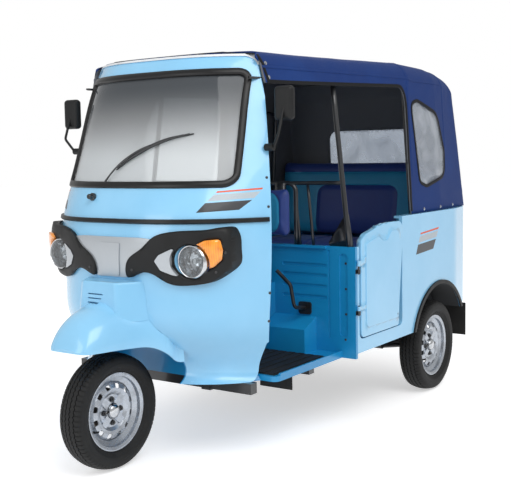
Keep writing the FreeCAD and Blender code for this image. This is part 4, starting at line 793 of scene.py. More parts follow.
def close_tree(tree, copies, taps, weld=0.0):
    """Copies made real, welded where wanted, and given their finish."""
    real = copies.node("GeometryNodeRealizeInstances", {0: copies})
    if weld:
        real = real.node("GeometryNodeMergeByDistance", {"Geometry": real, "Distance": weld})
    coated = real.node("GeometryNodeSetMaterial", {"Geometry": real, "Material": taps["Finish"]})
    tree.links.new(coated.socket, tree.nodes.new("NodeGroupOutput").inputs[0])
    return tree


def scatter_tree():
    """Copies of a template on points, turned to two stored directions."""
    sizes = [("Template", "Object"), ("Size", "Float"), ("Finish", "Material")]
    tree, taps = empty_tree("set_on_points", sizes)
    start = taps["Geometry"]
    template = start.node("GeometryNodeObjectInfo", {"Object": taps["Template"]}, out="Geometry")
    stored, align = "GeometryNodeInputNamedAttribute", "FunctionNodeAlignRotationToVector"
    facing = start.node(stored, {"Name": "facing"}, data_type="FLOAT_VECTOR")
    across = start.node(stored, {"Name": "across"}, data_type="FLOAT_VECTOR")
    turn = start.node(align, {"Vector": facing}, axis="Z")
    turn = start.node(align, {"Rotation": turn, "Vector": across}, axis="X", pivot_axis="Z")
    inputs = {"Points": start, "Instance": template, "Rotation": turn, "Scale": taps["Size"]}
    return close_tree(tree, start.node("GeometryNodeInstanceOnPoints", inputs), taps)


def ring_tree():
    """Copies of one slice turned about the Y axis until they close the ring."""
    sizes = [("Template", "Object"), ("Count", "Int"), ("Weld", "Float"), ("Finish", "Material")]
    tree, taps = empty_tree("close_the_ring", sizes)
    start = taps["Geometry"]
    template = start.node("GeometryNodeObjectInfo", {"Object": taps["Template"]}, out="Geometry")
    spots = start.node("GeometryNodeMeshLine", {"Count": taps["Count"], "Offset": (0.0, 0.0, 0.0)})
    index = start.node("GeometryNodeInputIndex")
    angle = index * (2 * math.pi) / taps["Count"]
    turn = start.node("ShaderNodeCombineXYZ", {"Y": angle})
    inputs = {"Points": spots, "Instance": template, "Rotation": turn}
    return close_tree(tree, start.node("GeometryNodeInstanceOnPoints", inputs), taps, taps["Weld"])


SCATTER = scatter_tree()
RING = ring_tree()


def grown(name, host_mesh, tree, template, values, angle=35.0):
    """The plain mesh that a tree makes on a host mesh with a template shape."""
    shape = bpy.data.objects.new(name + "_template", mesh_of(name + "_template", *template))
    host = bpy.data.objects.new(name + "_host", host_mesh)
    for item in (shape, host):
        bpy.context.scene.collection.objects.link(item)
    modifier = host.modifiers.new("repeat", "NODES")
    modifier.node_group = tree
    values = dict(values, Template=shape)
    for item in tree.interface.items_tree:
        if item.item_type == "SOCKET" and item.in_out == "INPUT" and item.name in values:
            modifier[item.identifier] = values[item.name]
    bpy.context.view_layer.update()
    evaluated = host.evaluated_get(bpy.context.evaluated_depsgraph_get())
    mesh = bpy.data.meshes.new_from_object(evaluated)
    for item in (host, shape):
        bpy.data.objects.remove(item)
    mesh.name = name
    soften(mesh, angle)
    return mesh


def set_on(name, template, places, finish, body="chassis", size=1.0, angle=40.0):
    """A piece of copies on places, each a point, its outward way and its X way."""
    host = bpy.data.meshes.new(name + "_points")
    host.from_pydata([tuple(p[0]) for p in places], [], [])
    for label, index in (("facing", 1), ("across", 2)):
        stored = host.attributes.new(label, "FLOAT_VECTOR", "POINT")
        for i, place in enumerate(places):
            stored.data[i].vector = place[index]
    mesh = grown(name, host, SCATTER, template, {"Size": size, "Finish": finish}, angle)
    return piece(name, mesh, finish, body)


def on_skin(found, across=(0, 0, 1)):
    """A place for set_on from a place met by a ray, or None where it met nothing."""
    if found is None:
        return None
    point, normal = found
    return point, normal, Vector(across)


# Camera, light and floor
def set_camera():
    """Camera at the place and turn that the photograph was taken from."""
    turn, drop, roll = (math.radians(a) for a in (EYE_TURN, EYE_DROP, EYE_ROLL))
    ahead = -Vector((math.cos(turn) * math.cos(drop), math.sin(turn) * math.cos(drop), math.sin(drop)))
    right = ahead.cross(Vector((0, 0, 1))).normalized()
    up = right.cross(ahead)
    rolled_right = right * math.cos(roll) + up * math.sin(roll)
    rolled_up = up * math.cos(roll) - right * math.sin(roll)
    lens = bpy.data.cameras.new("camera")
    lens.sensor_fit = "HORIZONTAL"
    lens.sensor_width = FILM_WIDTH
    lens.lens = LENS_PIXELS / PICTURE_WIDTH * FILM_WIDTH
    lens.clip_end = 60.0
    camera = bpy.data.objects.new("camera", lens)
    bpy.context.scene.collection.objects.link(camera)
    turned = Matrix((rolled_right, rolled_up, -ahead)).transposed().to_4x4()
    camera.matrix_world = Matrix.Translation(EYE) @ turned
    bpy.context.scene.camera = camera


def softbox(name, place, aim, size, power):
    """Large rectangular lamp aimed at a point."""
    light = bpy.data.lights.new(name, "AREA")
    light.shape = "RECTANGLE"
    light.size, light.size_y = size
    light.energy = power
    lamp = bpy.data.objects.new(name, light)
    bpy.context.scene.collection.objects.link(lamp)
    lamp.location = place
    lamp.rotation_euler = (Vector(aim) - Vector(place)).to_track_quat("-Z", "Y").to_euler()


def set_studio():
    """White surroundings, three large lamps, and a pale floor that keeps the shadow."""
    world = bpy.data.worlds.new("studio")
    bpy.context.scene.world = world
    world.use_nodes = True
    tree = world.node_tree
    glow = tree.nodes["Background"]
    path = tree.nodes.new("ShaderNodeLightPath")
    seen = Tap(tree, path.outputs["Is Camera Ray"])
    through = Tap(tree, path.outputs["Is Transmission Ray"])
    seen = seen.sum("MAXIMUM", seen, through)
    feed(tree, glow.inputs["Color"], (1.0, 1.0, 1.0, 1.0))
    feed(tree, glow.inputs["Strength"], WORLD_GLOW + (1 - WORLD_GLOW) * seen)
    for name, lamp in STUDIO_LAMPS.items():
        softbox(name, *lamp)
    corners = [(x * FLOOR_REACH, y * FLOOR_REACH, 0) for x, y in ((-1, -1), (1, -1), (1, 1), (-1, 1))]
    ground = mesh_of("floor", corners, [(0, 1, 2, 3)])
    material = bpy.data.materials.new("floor_paper")
    material.use_nodes = True
    tree = material.node_tree
    tree.nodes.clear()
    path = tree.nodes.new("ShaderNodeLightPath")
    seen = Tap(tree, path.outputs["Is Camera Ray"])
    for label in ("Is Glossy Ray", "Is Transmission Ray"):
        seen = seen.sum("MAXIMUM", seen, Tap(tree, path.outputs[label]))
    paper = seen.node("ShaderNodeBsdfDiffuse", {"Color": (0.86, 0.86, 0.87, 1.0)})
    lift = seen.node("ShaderNodeEmission", {"Color": (1.0, 1.0, 1.0, 1.0), "Strength": seen * FLOOR_GLOW})
    both = seen.node("ShaderNodeAddShader", {0: paper, 1: lift})
    tree.links.new(both.socket, tree.nodes.new("ShaderNodeOutputMaterial").inputs["Surface"])
    floor = bpy.data.objects.new("floor", ground)
    bpy.context.scene.collection.objects.link(floor)
    ground.materials.append(material)
    bpy.context.scene.view_settings.view_transform = "Standard"


set_camera()
set_studio()

GLOSS_BLUE = gloss_paint("body_paint", "86C6EC", "92CEF2")
TUB_BLUE = tub_paint()
DEEP_BLUE = inner_paint()
BLACK_PLASTIC = grained_plastic("black_plastic", "0E0F10", "191A1B", 0.5)
TRIM_PLASTIC = grained_plastic("trim_plastic", "202123", "303133", 0.34, 1300.0, 0.12)
GASKET = soft_rubber("gasket_rubber", "0B0B0C", "141416", 0.34)
INK_DARK = ink("dark_film", "26282C", "303338")
INK_PALE = ink("pale_film", "A9B4BC", "B8C2C9")
INK_WARM = ink("warm_film", "E0531E", "D0481A")
BLACK_RUBBER = soft_rubber("black_rubber", "161718", "26272A")
FLAP_RUBBER = soft_rubber("flap_rubber", "141414", "2B2A28", 0.7)
BLACK_STEEL = coated_steel()
SILVER = silver_paint()
RIM_STEEL = rim_steel()
DRUM_IRON = cast_iron("drum_iron", "3E3D3C", "57493D")
UNIT_ALLOY = cast_iron("unit_alloy", "8D9094", "6A6A68", 0.8, 0.38)
SPRING_STEEL = cast_iron("spring_steel", "2E3033", "4A4038", 0.5, 0.4)
CHROME = bright_metal("chrome", "E6E8EA", 0.05)
ZINC = bright_metal("zinc", "C4C6C6", 0.22)
MIRROR = bright_metal("mirror_silver", "EEF1F3", 0.01)
TYRE = tyre_rubber()
PANE = pane_glass()
LENS = clear_lens()
FILM = window_film()
AMBER = lens_plastic("amber_lens", "FFA21C", "C45C06", 40.0)
RED = lens_plastic("red_lens", "D81818", "6E0608", 90.0)
PALE_TRIM = grained_plastic("pale_trim", "E4E7EA", "D2D6DA", 0.3, 1500.0, 0.1)
NAVY_SEAT = vinyl("navy_seat_vinyl", plain_zone("22377A", "274088"))
CANVAS = canopy_cloth("canopy_canvas", "16336E", "1E4486", 0.55)
LINING = canopy_cloth("canopy_lining", "6A6B6E", "78797C", 0.66)
BINDING = canopy_cloth("canopy_binding", "101114", "1A1B1F", 0.5)
THREAD = canopy_cloth("sewing_thread", "3E5A92", "2E4678", 0.7)

DRESS = {
    GLOSS_BLUE: "cab_cowl front_fender left_door right_door",
    TUB_BLUE: "rear_body",
    DEEP_BLUE: "wheel_well floor_pan partition_wall driver_seat_stand rear_bench_base",
    BLACK_PLASTIC: "lamp_bezels dashboard handlebar_pod battery_pack rear_bumper mirrors arch_trims",
    TRIM_PLASTIC: "waist_strip driver_controls",
    BLACK_RUBBER: "windscreen_gasket handlebar_grips floor_mat",
    FLAP_RUBBER: "mudflaps",
    BLACK_STEEL: "wiper guard_rail chassis_frame rear_arms canopy_frame steering_fork handlebar door_hinges",
    SILVER: "grille_trim",
    RIM_STEEL: "front_rim rear_left_rim rear_right_rim",
    DRUM_IRON: "front_hub rear_left_hub rear_right_hub",
    UNIT_ALLOY: "drive_unit",
    SPRING_STEEL: "rear_springs front_shock",
    MIRROR: "mirror_panes",
    TYRE: "front_tyre rear_left_tyre rear_right_tyre",
    PANE: "windscreen_glass",
    LENS: "headlamps",
    FILM: "canopy_windows",
    AMBER: "indicators",
    RED: "tail_lamps",
    PALE_TRIM: "header_strip",
    NAVY_SEAT: "driver_seat_cushion driver_backrest rear_seat_cushion rear_backrest",
    CANVAS: "canopy",
}
for finish, names in DRESS.items():
    for name in names.split():
        NODES[name].data.materials.clear()
        NODES[name].data.materials.append(finish)

# Wheels


def crown_radius(y):
    """Radius of the tread at a distance from the tyre's middle."""
    return TYRE_R - CROWN_CLEAR - CROWN_FALL * y * y


def tread_row(share, cut, ribbed):
    """The tyre's outline at one place along a pitch, as (side, radius) pairs."""
    lean = ZIGZAG * (4 * abs(share - 0.5) - 1)
    notch = CUT_DEPTH if cut else 0.0
    last = len(TYRE_WALL) - 2
    wall = [(y, r - (WALL_CUT if cut and place >= last else 0.0)) for place, (y, r) in enumerate(TYRE_WALL)]
    row = [(y + (WALL_RIB if ribbed and place in (5, 6) else 0.0), r) for place, (y, r) in enumerate(wall)]
    row += [(y, crown_radius(y) - notch) for y in SHOULDER]
    lip = GROOVE_HALF - GROOVE_LIP
    for middle, way in GROOVES:
        for offset, sink in ((GROOVE_HALF, 0.0), (lip, 1.0), (-lip, 1.0), (-GROOVE_HALF, 0.0)):
            y = middle + offset + lean * way
            edge = cut and abs(middle) > 0.02 and offset * middle > 0
            row.append((y, crown_radius(y) - max(GROOVE_DEPTH * sink, CUT_DEPTH if edge else 0.0)))
        if middle > GROOVES[-1][0]:
            y = middle - BLOCK_STEP
            row.append((y, crown_radius(y)))
    row += [(-y, crown_radius(y) - notch) for y in reversed(SHOULDER)]
    return row + [(-y, r) for y, r in reversed(wall)]


def tread_slice():
    """One pitch of tyre: zigzag grooves round the crown and a cut across each shoulder."""
    columns = [0.0, 0.19, 0.21, 0.29, 0.31, 0.5, 0.75, 1.0]
    points = []
    for index, share in enumerate(columns):
        turn = 2 * math.pi * share / PITCHES
        row = tread_row(share, index in (2, 3), index % 2)
        points += [(r * math.sin(turn), y, r * math.cos(turn)) for y, r in row]
    size = len(row)
    faces = []
    for i in range(len(columns) - 1):
        for j in range(size):
            k = (j + 1) % size
            faces.append((i * size + j, i * size + k, (i + 1) * size + k, (i + 1) * size + j))
    return points, faces


def placed(mesh, centre, outward=1.0):
    """The mesh moved to a centre, turned about where its outer side faces right."""
    turn = Matrix.Identity(4) if outward > 0 else Matrix.Rotation(math.pi, 4, "Z")
    mesh.transform(Matrix.Translation(centre) @ turn)
    return mesh


def make_tyres():
    """Each tyre as one slice turned round its axle."""
    for label, (centre, outward, body) in WHEELS.items():
        host = bpy.data.meshes.new("ring_host")
        values = {"Count": PITCHES, "Weld": WELD, "Finish": TYRE}
        mesh = grown(label + "_tread", host, RING, tread_slice(), values, 28.0)
        piece(label + "_tread", placed(mesh, centre, outward), TYRE, body, label + "_tyre")


def wheel_nut():
    """Hexagon nut on its stud, with a round washer."""
    return gather([lathe(WASHER, sides=16), lathe(NUT, sides=6), lathe(STUD, sides=12)])


def make_wheel_fittings():
    """Four nuts, a turned cap and a bent valve on each wheel."""
    for label, (centre, outward, body) in WHEELS.items():
        face = Vector((0, outward, 0))
        nuts = []
        for quarter in range(4):
            turn = math.pi / 2 * quarter
            way = Vector((math.sin(turn), 0, math.cos(turn)))
            nuts.append((centre + way * NUT_CIRCLE + face * NUT_STAND, face, way))
        set_on(label + "_wheel_nuts", wheel_nut(), nuts, BLACK_STEEL, body, angle=30.0)
        built(label + "_hub_cap", [lathe(HUB_CAP, centre, face, 40)], CHROME, body)
        turn = math.radians(VALVE_TURN)
        way = Vector((math.sin(turn) * outward, 0, -math.cos(turn)))
        foot = centre + way * VALVE_CIRCLE + face * VALVE_STAND
        stem = eased([foot, foot + face * 0.014 - way * 0.003, foot + face * 0.026 - way * 0.009], 5)
        valve = tube(stem, VALVE_SIZES[:len(stem)], 12)
        built(label + "_valve", [valve], BLACK_RUBBER, body)


make_tyres()
make_wheel_fittings()


# Lamps
def faceted_bowl(centre):
    """Reflector of small flat facets, open ahead."""
    points, faces = [], []
    for number, (radius, along) in enumerate(BOWL_RINGS):
        for j in range(BOWL_SIDES):
            turn = 2 * math.pi * (j + 0.5 * (number % 2)) / BOWL_SIDES
            points.append(centre + Vector((along, radius * math.cos(turn), radius * math.sin(turn))))
    for number in range(len(BOWL_RINGS) - 1):
        for j in range(BOWL_SIDES):
            a, b = number * BOWL_SIDES + j, number * BOWL_SIDES + (j + 1) % BOWL_SIDES
            c, d = b + BOWL_SIDES, a + BOWL_SIDES
            faces += [(a, b, c), (a, c, d)]
    return points, faces


def make_headlamps():
    """Round lamps: bowl, bright rim, domed glass, and a bulb behind its shield."""
    bowls, rims, lenses, bulbs = [], [], [], []
    ahead = (1, 0, 0)
    for side in (1, -1):
        centre = Vector((LAMP.x, LAMP.y * side, LAMP.z))
        bowls += [faceted_bowl(centre), lathe(BOWL_BACK, centre, ahead, BOWL_SIDES, False)]
        rims.append(lathe(LAMP_RIM, centre, ahead, 64))
        lenses.append(lathe(LAMP_COVER, centre, ahead, 56, False))
        bulbs += [lathe(BULB, centre, ahead, 20), lathe(BULB_SHIELD, centre, ahead, 24)]
    built("lamp_bowls", bowls, CHROME, instead_of="headlamps", angle=4.0)
    built("lamp_rims", rims, CHROME)
    built("lamp_lenses", lenses, LENS)
    built("lamp_bulbs", bulbs, ZINC)


make_headlamps()


# Padded seats
def rounded_field(a, b, half_a, half_b, radius):
    """Shader distance from a rounded rectangle's edge, below 0 inside it."""
    out_a = abs(a) - (half_a - radius)
    out_b = abs(b) - (half_b - radius)
    far_a = out_a.sum("MAXIMUM", out_a, 0.0)
    far_b = out_b.sum("MAXIMUM", out_b, 0.0)
    length = (far_a * far_a + far_b * far_b).sum("SQRT", far_a * far_a + far_b * far_b)
    inner = out_a.sum("MAXIMUM", out_a, out_b)
    return length + inner.sum("MINIMUM", inner, 0.0) - radius


def round_rect(a, b, half_a, half_b, radius):
    """The same distance for a plain number."""
    out_a, out_b = abs(a) - (half_a - radius), abs(b) - (half_b - radius)
    return math.hypot(max(out_a, 0.0), max(out_b, 0.0)) + min(max(out_a, out_b), 0.0) - radius


def driver_zones(place):
    """Light frame round a dark field."""
    middle, half_y, half_z, radius = DRIVER_FIELD
    field = rounded_field(place.axis(1), place.axis(2) - middle, half_y, half_z, radius)
    return field.ramp(-SEAM_EDGE, SEAM_EDGE).mix(paint("1E86AD"), paint("22377A"))


def rear_zones(place):
    """Dark pad in a light frame, with a dark band above."""
    middle, half_y, half_z, radius = REAR_PAD
    field = rounded_field(place.axis(1), place.axis(2) - middle, half_y, half_z, radius)
    pad = field.ramp(-SEAM_EDGE, SEAM_EDGE)
    band = place.axis(2).ramp(REAR_BAND - SEAM_EDGE, REAR_BAND + SEAM_EDGE)
    return band.mix(pad.mix(paint("22377A"), paint("1E86AD")), paint("22377A"))


def hexahedron(corners, rounding):
    """Six-sided block from eight corners, four low and four high, with rounded edges."""
    build = bmesh.new()
    dots = [build.verts.new(c) for c in corners]
    for face in BLOCK_FACES:
        build.faces.new([dots[i] for i in face])
    bmesh.ops.recalc_face_normals(build, faces=build.faces)
    bmesh.ops.bevel(build, geom=build.edges[:], offset=rounding, segments=5, profile=0.5, affect="EDGES")
    mesh = bpy.data.meshes.new("block")
    build.to_mesh(mesh)
    build.free()
    return mesh


def plain(source, name):
    """The evaluated mesh of an object, as a mesh of its own."""
    bpy.context.view_layer.update()
    evaluated = source.evaluated_get(bpy.context.evaluated_depsgraph_get())
    mesh = bpy.data.meshes.new_from_object(evaluated)
    mesh.name = name
    return mesh


def worked(mesh, name, *kinds):
    """A mesh after a few modifiers, each a kind with its settings."""
    holder = bpy.data.objects.new(name, mesh)
    bpy.context.scene.collection.objects.link(holder)
    for kind, settings in kinds:
        modifier = holder.modifiers.new(kind.lower(), kind)
        for key, value in settings.items():
            setattr(modifier, key, value)
    result = plain(holder, name)
    bpy.data.objects.remove(holder)
    return result


def blown(mesh, name, cap):
    """The mesh swollen by air pressure, no point moving further than the cap."""
    holder = bpy.data.objects.new(name, mesh)
    bpy.context.scene.collection.objects.link(holder)
    cloth = holder.modifiers.new("air", "CLOTH")
    cloth.settings.use_pressure = True
    cloth.settings.uniform_pressure_force = 4.0
    cloth.settings.effector_weights.gravity = 0.0
    cloth.settings.quality = 4
    cloth.point_cache.frame_start = 1
    cloth.point_cache.frame_end = 20
    rest = [v.co.copy() for v in mesh.vertices]
    for number in range(1, 21):
        bpy.context.scene.frame_set(number)
    result = plain(holder, name)
    bpy.data.objects.remove(holder)
    bpy.context.scene.frame_set(1)
    for vertex, start in zip(result.vertices, rest):
        moved = vertex.co - start
        if moved.length > cap:
            vertex.co = start + moved * (cap / moved.length)
    return result


def stuffed(name, node, corners, shape, finish, rounding, voxel, cap):
    """A seat pad: rounded block, air, one subdivision, then its seams and channels."""
    mesh = worked(hexahedron(corners, rounding), name, ("REMESH", {"mode": "VOXEL", "voxel_size": voxel}),
                  ("SMOOTH", {"factor": 0.5, "iterations": 6}))
    mesh = blown(mesh, name, cap)
    mesh = worked(mesh, name, ("SUBSURF", {"levels": 1, "render_levels": 1}))
    starts = [(vertex.co.copy(), vertex.normal.copy()) for vertex in mesh.vertices]
    for vertex, (co, normal) in zip(mesh.vertices, starts):
        vertex.co = co + shape(co, normal)
    soften(mesh, 60.0)
    piece(name, mesh, finish, instead_of=node)


def dent(distance, width, depth):
    """A sewn valley: full depth at distance 0 and none past its width."""
    share = max(0.0, 1.0 - abs(distance) / width)
    return -depth * share * share * (3 - 2 * share)


def corners_of(low, high):
    """Eight corners of a box, four round below and four above."""
    flat = [(low[0], low[1]), (high[0], low[1]), (high[0], high[1]), (low[0], high[1])]
    return [(x, y, z) for z in (low[2], high[2]) for x, y in flat]


def shrunk(name, margin):
    """Corners of a node's box, drawn in on every side."""
    low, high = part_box(name)
    return corners_of([c + margin for c in low], [c - margin for c in high])


def cushion_shape(node, channels, crown):
    """Crown, border seam and sewn channels on the upper side of a cushion."""
    low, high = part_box(node)
    middle_x, middle_y = (low[0] + high[0]) / 2, (low[1] + high[1]) / 2
    half_x, half_y = (high[0] - low[0]) / 2, (high[1] - low[1]) / 2

    def shape(co, normal):
        up = max(0.0, normal.z)
        border = round_rect(co.x - middle_x, co.y - middle_y, half_x - 0.045, half_y - 0.045, 0.05)
        share_x, share_y = (co.x - middle_x) / half_x, (co.y - middle_y) / half_y
        rise = crown * max(0.0, 1 - share_x ** 2) * max(0.0, 1 - share_y ** 4)
        move = up * (dent(border, 0.009, 0.0045) + rise * (1.0 if border < 0 else 0.3))
        for line in channels:
            if border < -0.004:
                move += up * dent(co.y - line, 0.014, 0.006)
        moved = normal * move
        if co.z + moved.z < low[2]:
            moved.z = low[2] - co.z
        return moved
    return shape


def driver_back_shape(co, normal):
    """Welted field on the driver's backrest."""
    middle, half_y, half_z, radius = DRIVER_FIELD
    edge = round_rect(co.y, co.z - middle, half_y, half_z, radius)
    rise = 0.004 * clamped(-edge / 0.06)
    return normal * max(0.0, normal.x) * (dent(edge, 0.008, 0.0045) + rise)


def rear_back_shape(co, normal):
    """Raised pad and upper band on the bench's backrest."""
    middle, half_y, half_z, radius = REAR_PAD
    edge = round_rect(co.y, co.z - middle, half_y, half_z, radius)
    rise = 0.012 * clamped(-edge / 0.03)
    band = 0.005 if co.z > REAR_BAND else 0.0
    seams = dent(edge, 0.009, 0.005) + dent(co.z - REAR_BAND, 0.010, 0.005)
    return normal * max(0.0, normal.x) * (seams + rise + band)


def make_seats():
    """Two cushions and two backrests, each filling its node's place."""
    node = "driver_seat_cushion"
    stuffed("driver_cushion_pad", node, shrunk(node, 0.008), cushion_shape(node, DRIVER_CHANNELS, 0.006),
            NAVY_SEAT, rounding=0.026, voxel=0.012, cap=0.012)
    node = "rear_seat_cushion"
    stuffed("rear_cushion_pad", node, shrunk(node, 0.010), cushion_shape(node, REAR_CHANNELS, 0.008),
            NAVY_SEAT, rounding=0.034, voxel=0.016, cap=0.016)
    node = "driver_backrest"
    stuffed("driver_back_pad", node, shrunk(node, 0.008), driver_back_shape,
            vinyl("driver_back_vinyl", driver_zones), rounding=0.024, voxel=0.012, cap=0.012)
    low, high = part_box("rear_backrest")
    low = (low.x + 0.008, low.y + 0.008, low.z + 0.006)
    high = (high.x - 0.010, high.y - 0.008, high.z - 0.008)
    corners = corners_of(low, high)
    for index in (5, 6):
        x, y, z = corners[index]
        corners[index] = (x - BACK_SLOPE, y, z)
    stuffed("rear_back_pad", "rear_backrest", corners, rear_back_shape,
            vinyl("rear_back_vinyl", rear_zones), rounding=0.026, voxel=0.016, cap=0.014)


make_seats()


# Paths on the skin, and what is sewn or laid along them
def round_corners(corners, radii, steps=7):
    """A closed outline with each corner turned into an arc; radius 0 keeps it sharp."""
    path = []
    count = len(corners)
    for i, corner in enumerate(corners):
        here = Vector(corner)
        back = (Vector(corners[i - 1]) - here).normalized()
        on = (Vector(corners[(i + 1) % count]) - here).normalized()
        radius = radii[i] if isinstance(radii, (list, tuple)) else radii
        if radius == 0:
            path.append(here)
            continue
        half = back.angle(on) / 2
        reach = radius / math.tan(half)
        centre = here + (back + on).normalized() * (radius / math.sin(half))
        first, last = here + back * reach - centre, here + on * reach - centre
        for step in range(steps + 1):
            way = first.lerp(last, step / steps).normalized()
            path.append(centre + way * radius)
    return path


def spaced(path, gap, closed=False):
    """Points at an even gap along a line of points."""
    path = [Vector(p) for p in path]
    if closed:
        path.append(path[0])
    lengths = [0.0]
    for a, b in zip(path, path[1:]):
        lengths.append(lengths[-1] + (b - a).length)
    count = max(2, round(lengths[-1] / gap))
    result = []
    place = 0
    for step in range(count if closed else count + 1):
        want = lengths[-1] * step / count
        while place < len(path) - 2 and lengths[place + 1] < want:
            place += 1
        span = lengths[place + 1] - lengths[place]
        result.append(path[place].lerp(path[place + 1], (want - lengths[place]) / span if span else 0.0))
    return result


def aside(path, distance, closed=True):
    """A flat path moved sideways, outward where it runs anticlockwise."""
    moved = []
    count = len(path)
    for i, point in enumerate(path):
        after = path[(i + 1) % count] if closed or i < count - 1 else point
        before = path[i - 1] if closed or i > 0 else point
        way = (after - before).normalized()
        moved.append(point + Vector((way.y, -way.x)) * distance)
    return moved


def strip(places, half, rise, sink=0.001, closed=False):
    """Band with rounded edges along places, each a point and its outward way."""
    points, faces = [], []
    count = len(places)
    edge = rise * 0.55
    section = [(-1.0, -sink), (-1.0, edge), (-0.72, rise), (0.72, rise), (1.0, edge), (1.0, -sink)]
    for i, (point, normal) in enumerate(places):
        after = places[(i + 1) % count][0] if closed else places[min(i + 1, count - 1)][0]
        before = places[i - 1][0] if closed else places[max(i - 1, 0)][0]
        across = (after - before).cross(normal).normalized()
        for share, height in section:
            points.append(point + across * (half * share) + normal * height)
    size = len(section)
    for i in range(count if closed else count - 1):
        a, b = i * size, ((i + 1) % count) * size
        for j in range(size):
            k = (j + 1) % size
            faces.append((a + j, a + k, b + k, b + j))
    if not closed:
        faces.append(tuple(range(size - 1, -1, -1)))
        faces.append(tuple((count - 1) * size + j for j in range(size)))
    return points, faces


def stitch():
    """One stitch of thread, dipping into the cloth at both ends."""
    half = [(-0.0030, 0, -0.0006), (-0.0022, 0, 0.0004)]
    path = half + [(0.0, 0, 0.0008)] + [(-x, y, z) for x, y, z in reversed(half)]
    return tube(path, 0.00055, 5)


def stitches(name, runs, finish):
    """Thread along runs of places, each run a list of points and outward ways."""
    places = []
    for run in runs:
        for (point, normal), (following, _) in zip(run, run[1:]):
            places.append((point.lerp(following, 0.5), normal, following - point))
    return set_on(name, stitch(), places, finish, angle=60.0)


# Canopy
def tensioned(point):
    """Where a point of the cover, its film or its bows goes once the cover is pulled tight."""
    x, y, z = point
    side = math.copysign(1.0, y)
    old = between(x, ((FRONT_X - 0.5, 1.553), (OPENING_BACK, 1.586)))
    new = old + EDGE_RISE
    share = ease(x, OPENING_BACK - 0.10, OPENING_BACK) * ease(abs(y), 0.36, 0.44)
    if z < FOLD_Z:
        if z > old:
            rise = FOLD_Z - (FOLD_Z - z) * (FOLD_Z - new) / (FOLD_Z - old) - z
        else:
            rise = EDGE_RISE * ease(z, old - 0.12, old)
        slope = between(x, ((0.603, 0.281), (-0.097, 0.146), (-0.557, 0.061)))
        z += rise * share
        y -= side * slope * rise * share
    forward = ease(x, 0.40, 0.563) * ease(abs(y), 0.44, 0.475) * ease(z, 1.45, 1.55)
    x += EDGE_FORWARD * forward
    y -= side * EDGE_INWARD * forward
    x += LEAN * ease(-point[0], 1.02, 1.22) * max(0.0, z - BODY_TOP) / CANOPY_HEIGHT
    return Vector((x, y, z))


def front_edge(y):
    """Where the canopy's front edge lies at a distance from the middle."""
    return CANOPY_FRONT - 0.100 * (abs(y) / 0.500) ** 3 + 0.030 * ease(abs(y), 0.44, 0.475)


def outward(point):
    """Way out of the canopy from its middle line."""
    middle = Vector((min(max(point.x, -0.95), 0.62), 0.0, min(point.z, 1.35)))
    return (point - middle).normalized()


def bump_at(value, middle, reach):
    """1 at the middle value, falling straight to 0 at its reach on both sides."""
    return clamped(1 - abs(value - middle) / reach)


def cloth_move(point):
    """How far the cloth stands in or out at a point, in metres."""
    roof = clamped((point.z - 1.62) / 0.10)
    away = clamped((point.z - BODY_TOP - 0.02) / 0.06) * clamped((front_edge(point.y) - point.x) / 0.08)
    sag = 0.0
    for high, low in ((0.62, BOWS[0]), BOWS, (BOWS[1], TAIL_X + 0.05)):
        if low < point.x < high:
            sag = math.sin(math.pi * (point.x - low) / (high - low))
    side = abs(math.sin(math.pi * min(1.0, abs(point.y) / 0.47)))
    slack = -roof * sag * (0.0015 + 0.0065 * side)
    soft = noise.noise(point * 3.1) * 0.0022 + noise.noise(point * 7.0 + Vector((4, 1, 9))) * 0.0011
    pull = math.sin(58.0 * (point.x * 0.75 + point.z * 0.66) + 5.0 * noise.noise(point * 2.3))
    low_pull = math.sin(70.0 * (point.x * 0.4 - point.z) + 4.0 * noise.noise(point * 3.0))
    folds = 0.0011 * bump_at(point.z, 1.66, 0.09) * pull + 0.0009 * bump_at(point.z, 1.06, 0.07) * low_pull
    return min(0.0035, slack + soft + folds) * away


def diced(mesh, longest):
    """A copy of a mesh in small triangles, with its outline kept."""
    build = bmesh.new()
    build.from_mesh(mesh)
    bmesh.ops.remove_doubles(build, verts=build.verts[:], dist=0.0002)
    flat = math.radians(0.6)
    bmesh.ops.dissolve_limit(build, angle_limit=flat, verts=build.verts[:], edges=build.edges[:])
    bmesh.ops.triangulate(build, faces=build.faces[:])
    for _ in range(8):
        wide = [edge for edge in build.edges if edge.calc_length() > longest]
        if not wide:
            break
        bmesh.ops.subdivide_edges(build, edges=wide, cuts=1)
        bmesh.ops.triangulate(build, faces=build.faces[:])
    result = bpy.data.meshes.new("diced")
    build.to_mesh(result)
    build.free()
    return result


def make_canopy():
    """The cover as one sheet: dark lining inside, canvas outside, slack between its bows."""
    mesh = diced(NODES["canopy"].data, DICE)
    ways = [outward(v.co) for v in mesh.vertices]
    inside = [face.normal.dot(outward(face.center)) < 0.2 for face in mesh.polygons]
    area = sum(face.area for face, inner in zip(mesh.polygons, inside) if not inner)
    for vertex, way in zip(mesh.vertices, ways):
        vertex.co = tensioned(vertex.co + way * cloth_move(vertex.co.copy()))
    soften(mesh, 50.0)
    cover = piece("canopy_cover", mesh, [CANVAS, LINING], instead_of="canopy")
    for face, inner in zip(mesh.polygons, inside):
        face.material_index = 1 if inner else 0
    return cover, area


def side_places(skin, path, side):
    """Places on one side of the cover for a flat path of (place, height)."""
    moved = [tensioned((x, 0.55 * side, z)) for x, z in path]
    found = [skin.side(place.x, place.z, side) for place in moved]
    return [hit for hit in found if hit]


def window_path(distance, gap=BINDING_STEP):
    """Edge of the side window, moved out into the cloth."""
    return spaced(aside(round_corners(WINDOW, WINDOW_RADII), distance), gap, True)


